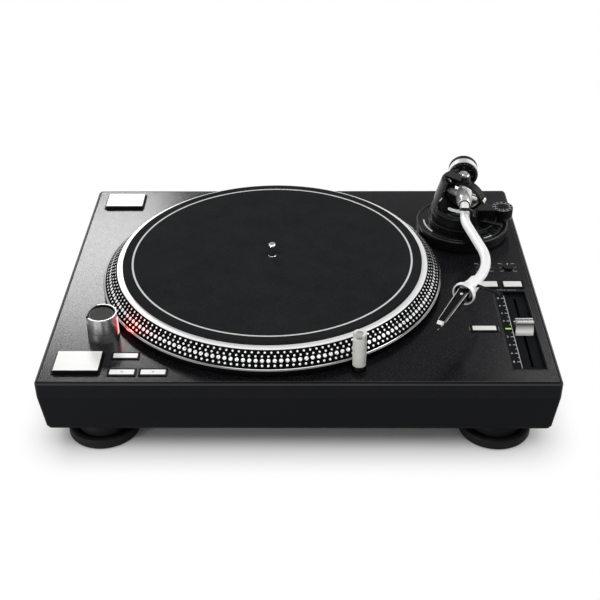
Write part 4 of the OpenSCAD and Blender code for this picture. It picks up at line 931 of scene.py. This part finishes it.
def felt_mat():
    """A disc with a softly uneven face, a rounded rim and a hole for the spindle."""
    low = top_of("platter") + 0.02
    top = top_of("slipmat")
    hole = 4.2
    wave, waves_per_mm = 0.05, 0.7
    rows = [(hole, low), (hole, top - 0.3), (hole + 0.3, top)]
    rows += [(float(r), top + wave * math.sin(waves_per_mm * r)) for r in range(12, 145, 6)]
    rows += [(MAT_R - 0.9, top), (MAT_R - 0.25, top - 0.35), (MAT_R, top - 1.0)]
    rows += [(MAT_R, low), (MAT_R - 40, low), (60, low), (hole, low)]
    shape = Shape().turned(rows, 180, move(SPINDLE.x, SPINDLE.y))
    bmesh.ops.remove_doubles(shape.bm, verts=shape.bm.verts[:], dist=0.001)
    obj = shape.made("felt_mat", FINISH["slipmat"], "mat", "felt", smooth=60)
    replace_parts(obj, "slipmat")


felt_mat()


# Arm tube and hub, smooth from end to end

HUB_OUTLINE = [
    (0.0, -8.0), (5.6, -8.0), (6.6, -7.6), (7.3, -6.2), (7.9, -4.0), (8.25, -1.0), (8.35, 3.0), (8.3, 8.0),
    (8.05, 12.0), (7.6, 15.5), (7.0, 18.2), (6.4, 20.2), (6.2, 21.2), (5.8, 21.7), (4.7, 21.7), (4.7, 13.0),
    (0.0, 13.0),
]
PIN_OUTLINE = [(0.0, 5.0), (3.6, 5.0), (3.6, 15.6), (3.2, 16.5), (1.5, 16.6), (1.5, 21.9), (0.0, 21.9)]
RING_OUTLINE = [
    (4.62, 21.75), (5.5, 21.75), (5.65, 21.9), (5.65, 22.4), (5.5, 22.55), (4.62, 22.55), (4.62, 21.75),
]
CAP_OUTLINE = [
    (0.0, 24.5), (2.0, 24.5), (2.45, 24.2), (2.45, 23.85), (3.0, 23.8), (3.3, 23.5), (3.3, 22.7), (0.0, 22.7),
]


def arm_path():
    """Points along the middle of the tube, from the hub to the socket of the head."""
    points = [TUBE_START * ahead(0), 30.0 * ahead(0)]
    points += [BEND_1_AT - BEND_1_R * aside(BEND_1_DEG * i / 8) for i in range(9)]
    points += [BEND_1_END + TUBE_B * ahead(BEND_1_DEG) * i / 3 for i in (1, 2)]
    bend_2_deg = OFFSET_DEG + BEND_1_DEG
    points += [BEND_2_AT + BEND_2_R * aside(BEND_1_DEG - bend_2_deg * i / 18) for i in range(19)]
    points.append(BEND_2_END + TUBE_RUN_OUT * ahead(-OFFSET_DEG))
    return [ARM @ p for p in points]


def arm_pieces():
    """Skins of the tube and the hub, the black ring between them and the caps of the yoke's bearings."""
    path = arm_path()
    tube = Shape().tube(path, [TUBE_R] * len(path), 40)
    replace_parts(tube.made("tube_skin", SATIN, "arm", "silver_alloy", smooth=50), "arm_tube")
    front = ARM @ spin(90, "X")
    yoke = Matrix.Translation(ARM.translation) @ spin(-PARK_DEG - OFFSET_DEG)
    hub = Shape().turned(HUB_OUTLINE, 64, front)
    caps = Shape()
    for side in (-1, 1):
        pin = yoke @ spin(90 * side, "Y")
        hub.turned(PIN_OUTLINE, 40, pin)
        caps.turned(CAP_OUTLINE, 32, pin)
    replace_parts(hub.made("hub_skin", HUB, "arm", "silver_alloy", smooth=35), "arm_hub")
    ring = Shape().turned(RING_OUTLINE, 48, front)
    ring.made("tube_ring", BLACK_GLOSS, "arm", "knob_black", smooth=35)
    caps.made("yoke_caps", BEARING, "gimbal", "chrome_metal", smooth=35)


arm_pieces()


# Printed marks and thin edges

def scale_middle():
    """Where the scale's long line passes its zero, on top of the fader's plate."""
    low, high = box_mm("pitch_plate")
    return low.x + 10.0, (low.y + high.y) / 2 - 0.6, high.z


def pitch_scale():
    """The fader's scale with its numbers."""
    low, high = box_mm("pitch_plate")
    line, mid, top = scale_middle()
    pitch = 12.58
    rows = [(line - 0.2, low.y + 1.5, line + 0.2, high.y - 8.0)]
    numbers = []
    for i in range(-4, 5):
        y = mid + i * pitch
        half = y + pitch / 2
        if i:
            rows.append((line - 3.2, y - 0.28, line, y + 0.28))
            numbers.append((str(abs(i) * 2), 3.3, upright(line - 5.9, y, top + NUMBER_RISE)))
        if i < 4:
            rows.append((line - 1.6, half - 0.2, line, half + 0.2))
    strips("scale_ticks", rows, top, WHITE_INK, "deck", "key_white")
    lettering("scale_numbers", numbers, WHITE_INK, "deck", "key_white")


def plate_lines():
    """Painted highlights on the edges of the fader's plate."""
    low, high = box_mm("pitch_plate")
    across = ((low.x + 0.1, low.x + 0.4), (low.x + 1.3, low.x + 1.55), (high.x - 0.45, high.x - 0.15))
    rows = [(x0, low.y + 0.3, x1, high.y - 0.3) for x0, x1 in across]
    rows.append((low.x + 0.4, low.y + 0.1, high.x - 0.4, low.y + 0.3))
    strips("plate_lines", rows, high.z, EDGE_HIGHLIGHT, "deck", "grey_metal")


def centre_led():
    """Green lamp beside the zero of the scale."""
    line, mid, top = scale_middle()
    led = Shape().bar((line - 3.4, mid, top + 0.1), (5.6, 1.9, 0.3), chamfer=0.3)
    led.made("centre_led", led_paint(), "deck", "key_white")


def trim_marks(letter):
    """Bars that stand for print, ticks, a ring and a dot round a trim knob, and the pointer on it."""
    node = "trim_knob_" + letter
    knob = middle(node)
    z = top_of("faceplate")
    words = [(-9.0, 6.6, -5.0, 7.4), (3.6, 6.6, 7.6, 7.4), (-8.2, -7.4, -5.4, -6.8), (4.6, -7.4, 8.4, -6.8)]
    rows = [(knob.x + x0, knob.y + y0, knob.x + x1, knob.y + y1) for x0, y0, x1, y1 in words]
    angles = [-50, 0, 50, 130, 180, 230]
    strips("trim_marks_" + letter, rows, z, SOFT_INK, "deck", "key_white")
    spokes("trim_ticks_" + letter, knob, z, angles, 6.9, 8.3, 0.45, SOFT_INK, "deck", "key_white")
    arcs("trim_ring_" + letter, knob, z, [(6.1, 6.4, -50, 230)], DARK_INK, "deck", "grey_metal")
    dot = Shape().dome(0.75, 0.12, upright(knob.x + 2.2, knob.y + 6.9, z), 12, 0.05)
    dot.made("trim_dot_" + letter, WHITE_INK, "deck", "key_white")
    spokes("trim_pointer_" + letter, knob, top_of(node), [90], 2.2, 4.9, 0.7, WHITE_INK, node, "key_white")


def key_brackets():
    """Brackets beside the reset key, and a row of bars that stands for print behind the fader's plate."""
    low, high = box_mm("key_reset")
    y = (low.y + high.y) / 2
    rows = [(x, y - 2.8, x + 0.4, y + 2.8) for x in (low.x - 2.5, high.x + 2.1)]
    plate_low, plate_high = box_mm("pitch_plate")
    top = plate_high.y + 2.6
    for i in range(8):
        x = plate_low.x + 5.4 + 2.2 * i + (0.9 if i > 3 else 0)
        rows.append((x, top - 0.3, x + 1.5, top + 0.3))
    strips("key_brackets", rows, top_of("faceplate"), SOFT_INK, "deck", "key_white")


def faceplate_edge():
    """Painted highlight on the edge of the top panel."""
    a, b = box_mm("faceplate")
    w = 0.35
    rows = [(a.x, y, b.x, y + w) for y in (a.y, b.y - w)]
    rows += [(x, a.y + w, x + w, b.y - w) for x in (a.x, b.x - w)]
    strips("faceplate_edge", rows, b.z - 0.055, EDGE_HIGHLIGHT, "deck", "grey_metal")


def key_numbers():
    for key, text in (("key_33", "33"), ("key_45", "45")):
        at = middle(key)
        place = upright(at.x, at.y, top_of(key) + 0.02)
        lettering(key + "_number", [(text, 2.5, place)], DARK_INK, key, "knob_black")


def on_ring(centre, z, degrees, radius, turn):
    """Place of a number on a ring, turned from the way that points outwards."""
    return upright(centre.x, centre.y, z + NUMBER_RISE, degrees) @ move(radius) @ spin(turn)


def ring_marks():
    """The height ring's scale, painted highlights on the edges of the ring and the column, and painted
    highlights on the ring's land.
    """
    top = top_of("height_ring")
    land_drop = 0.3
    land = top - land_drop
    column_top = DECK_Z + 18.9
    # Two pale arcs on the land are painted highlights of its bevel.
    painted_arc_highlights = [(39.2, 40.8, 177, 214), (40.3, 41.2, 297, 311)]
    ticks = range(-48, 50, 8)
    numbers = [(str(i), 2.8, on_ring(PIVOT, land, -48 + 16 * i, 37.0, -90)) for i in range(7)]
    # Painted highlights: pale rings on the edges of the height ring and the column.
    arcs("ring_edge_highlight", PIVOT, top, [(46.35, 46.75, 0, 360)], EDGE_HIGHLIGHT, "height_ring", "grey_metal")
    arcs("column_edge_highlight", PIVOT, column_top, [(34.9, 35.3, 0, 360)], EDGE_HIGHLIGHT, "column", "grey_metal")
    arcs("ring_arc_highlights", PIVOT, land, painted_arc_highlights, WHITE_INK, "height_ring", "key_white")
    spokes("ring_ticks", PIVOT, land, ticks, 38.9, 41.0, 0.35, GREY_INK, "height_ring", "key_white")
    lettering("ring_numbers", numbers, GREY_INK, "height_ring", "key_white")


def skate_marks():
    """Scale and ring on top of the anti-skating dial, and a painted highlight on its edge."""
    body = "anti_skate_dial"
    dial = middle(body)
    top = top_of(body)
    ticks = range(0, 360, 30)
    numbers = [(str(i), 2.5, on_ring(dial, top, -90 - 45 * i, 5.7, 90)) for i in range(8)]
    spokes("skate_ticks", dial, top, ticks, 8.3, 9.7, 0.6, WHITE_INK, body, "key_white")
    arcs("skate_ring", dial, top, [(7.3, 7.9, 0, 360)], SOFT_INK, body, "key_white")
    # Painted highlight: a grey ring on the dial's edge.
    arcs("skate_edge_highlight", dial, top, [(10.2, 10.7, 0, 360)], GREY_INK, body, "grey_metal")
    lettering("skate_numbers", numbers, SOFT_INK, body, "key_white")


def dial_marks():
    """Scale and numbers on the front of the counterweight's dial."""
    front = ARM @ spin(90, "X")
    bevel_fall, bevel_run = 1.6, 2.2
    bevel_deg = math.degrees(math.atan2(bevel_fall, bevel_run))
    tick_r, tick_back = 13.7, 43.3
    number_r, number_back = 9.4, 42.72
    ticks = Shape()
    numbers = []
    for i in range(24):
        turned = front @ spin(15 * i)
        long, wide = (0.9, 0.25) if i % 3 else (1.9, 0.35)
        place = turned @ move(tick_r, 0, -tick_back) @ spin(bevel_deg, "Y")
        ticks.bar((0, 0, 0.03), (long, wide, 0.1), place)
        if i % 3 == 0:
            place = turned @ move(number_r, 0, -number_back) @ spin(-90)
            numbers.append((str((i // 3 + 6) % 8), 2.6, place))
    ticks.made("dial_ticks", GREY_INK, "weight_dial", "key_white")
    lettering("dial_numbers", numbers, GREY_INK, "weight_dial", "key_white", depth=0.5)


def tower_marks():
    """White dash on the tower's left side, and a chrome screw at its back left."""
    axis = Vector((PIVOT.x + 0.06, PIVOT.y - 0.13, DECK_Z))
    front_left = aside(205)
    path = [axis + r * front_left + Vector((0, 0, z)) for r, z in ((29.4, 42.4), (26.6, 45.6))]
    Shape().tube(path, [0.5, 0.5], 10).made("tower_mark", WHITE_INK, "column", "key_white")
    screw_x, screw_y, screw_z = PIVOT.x - 13.304, PIVOT.y + 21.011, DECK_Z + 48.6
    screw = Shape().dome(1.9, 0.9, upright(screw_x, screw_y, screw_z), 20, 0.6)
    screw.made("tower_screw", CHROME, "column", "chrome_metal")


def head_marks():
    """Light on the two long edges of the head."""
    edges = Shape()
    for path in (((-4.1, 5.3, 29.0), (-2.95, -4.5, 68.6)), ((5.28, 4.1, 29.0), (4.08, -5.7, 68.6))):
        edges.tube([HEAD @ Vector(p) for p in path], [0.17, 0.14], 8)
    edges.made("head_edges", SATIN, "pickup", "silver_alloy")


pitch_scale()
plate_lines()
centre_led()
trim_marks("a")
trim_marks("b")
key_brackets()
faceplate_edge()
key_numbers()
ring_marks()
skate_marks()
dial_marks()
tower_marks()
head_marks()


# Camera at the photograph's viewing angle, in metres and degrees

CAMERA_YAW, CAMERA_PITCH, CAMERA_ROLL = -0.922, 33.898, -0.528
CAMERA_AT = Vector((0.014316, -0.909377, DECK_Z * MM + 0.57989))
CAMERA_LENS = 64.945


def make_camera():
    yaw, pitch, roll = (math.radians(a) for a in (CAMERA_YAW, CAMERA_PITCH, CAMERA_ROLL))
    forward = Vector((math.sin(yaw) * math.cos(pitch), math.cos(yaw) * math.cos(pitch), -math.sin(pitch)))
    right = Vector((math.cos(yaw), -math.sin(yaw), 0))
    up = right.cross(forward)
    side = right * math.cos(roll) + up * math.sin(roll)
    top = -right * math.sin(roll) + up * math.cos(roll)
    data = bpy.data.cameras.new("camera")
    data.sensor_width = 36
    data.lens = CAMERA_LENS
    data.clip_start = 0.02
    data.clip_end = 60
    camera = bpy.data.objects.new("camera", data)
    scene.collection.objects.link(camera)
    turn = Matrix((side, top, -forward)).transposed()
    camera.matrix_world = Matrix.Translation(CAMERA_AT) @ turn.to_4x4()
    scene.camera = camera


make_camera()


# Studio

def make_world():
    """White all round for the camera; for gloss, white low down and dimmer overhead, as in a studio."""
    world = bpy.data.worlds.new("studio")
    scene.world = world
    world.use_nodes = True
    n = Nodes(world.node_tree)
    rays = n.add("ShaderNodeLightPath").outputs
    x, _, z = n.split(n.add("ShaderNodeTexCoord").outputs["Generated"])
    overhead = n.span(z, 0.27, 0.47, 1.0, 0.28)
    sides = n.span(n.math("ABSOLUTE", x), 0.42, 0.66)
    level = n.either(overhead, sides, rays["Is Camera Ray"])
    soft, white = (n.add("ShaderNodeBackground") for _ in range(2))
    for node in (soft, white):
        node.inputs["Color"].default_value = (1, 1, 1, 1)
    soft.inputs["Strength"].default_value = 0.4
    n.link(level, white.inputs["Strength"])
    out = n.add("ShaderNodeOutputWorld")
    n.link(n.mixed(n.seen(rays), soft.outputs[0], white.outputs[0]), out.inputs["Surface"])


def make_floor():
    """A plain pale floor that keeps the shadow near the turntable and turns white away from it."""
    shape = Shape()
    rings = []
    for r in (700.0, 2500.0, 9000.0):
        rings.append([shape.point(r * math.cos(a), r * math.sin(a), 0) for a in circle(64)])
    shape.face(rings[0])
    shape.wrap(rings)
    p = Paint("floor_white", (0.82, 0.82, 0.82, 1), rough=0.9, level=0.0)
    x, y, _ = p.split(p.place)
    half_x, half_y, reach = 0.2, 0.15, 0.062
    dx = p.math("MAXIMUM", p.math("SUBTRACT", p.math("ABSOLUTE", x), half_x), 0.0)
    dy = p.math("MAXIMUM", p.math("SUBTRACT", p.math("ABSOLUTE", y), half_y), 0.0)
    fade = p.add("ShaderNodeMapRange", interpolation_type="SMOOTHSTEP")
    fade.inputs["From Max"].default_value = reach
    p.link(p.distance(dx, dy), fade.inputs["Value"])
    white = p.add("ShaderNodeEmission")
    white.inputs["Strength"].default_value = 1.0
    fac = p.both(fade.outputs[0], p.seen(p.add("ShaderNodeLightPath").outputs))
    p.link(p.mixed(fac, p.shader.outputs[0], white.outputs[0]), p.out.inputs["Surface"])
    shape.as_object("floor", p.mat)


def lamp(name, place, size, power, aim=(0, 0, 0.08), tint=(1, 1, 1)):
    """A soft rectangular lamp, in metres and watts, that the camera does not see."""
    data = bpy.data.lights.new(name, "AREA")
    data.shape = "RECTANGLE"
    data.size, data.size_y = size
    data.energy = power
    data.color = tint
    obj = bpy.data.objects.new(name, data)
    scene.collection.objects.link(obj)
    obj.location = place
    obj.rotation_mode = "QUATERNION"
    obj.rotation_quaternion = (Vector(aim) - Vector(place)).to_track_quat("-Z", "Y")
    obj.visible_camera = False


def strobe_lamp():
    """Small red lamp in front of the window, which colours the dots beside it."""
    glass = middle("strobe_lens") * MM
    place = glass + Vector((0.0022, -0.0002, 0.002))
    aim = glass + Vector((0.03, 0.006, 0))
    lamp("strobe_glow", place, (0.004, 0.012), 0.008, aim, tint=(1.0, 0.05, 0.04))


make_world()
make_floor()
lamp("back_left", (-0.53, 1.37, 0.915), (0.4, 0.36), 7.4, aim=(-0.19, 0.0, 0.08))
lamp("overhead", (0.05, -0.85, 1.9), (1.8, 1.3), 12.5)
lamp("side_left", (-1.75, -0.1, 1.45), (1.1, 0.9), 1.0)
lamp("side_right", (1.6, 0.1, 1.3), (1.1, 0.9), 11)
lamp("back_right", (0.61, 1.19, 1.15), (0.22, 0.3), 0.5, aim=(0.2, -0.15, 0.08))
lamp("front_left", (-1.04, -1.06, 0.14), (0.2, 0.25), 7.0, aim=(-0.18, -0.1, 0.09))
strobe_lamp()

scene.view_settings.view_transform = "Standard"
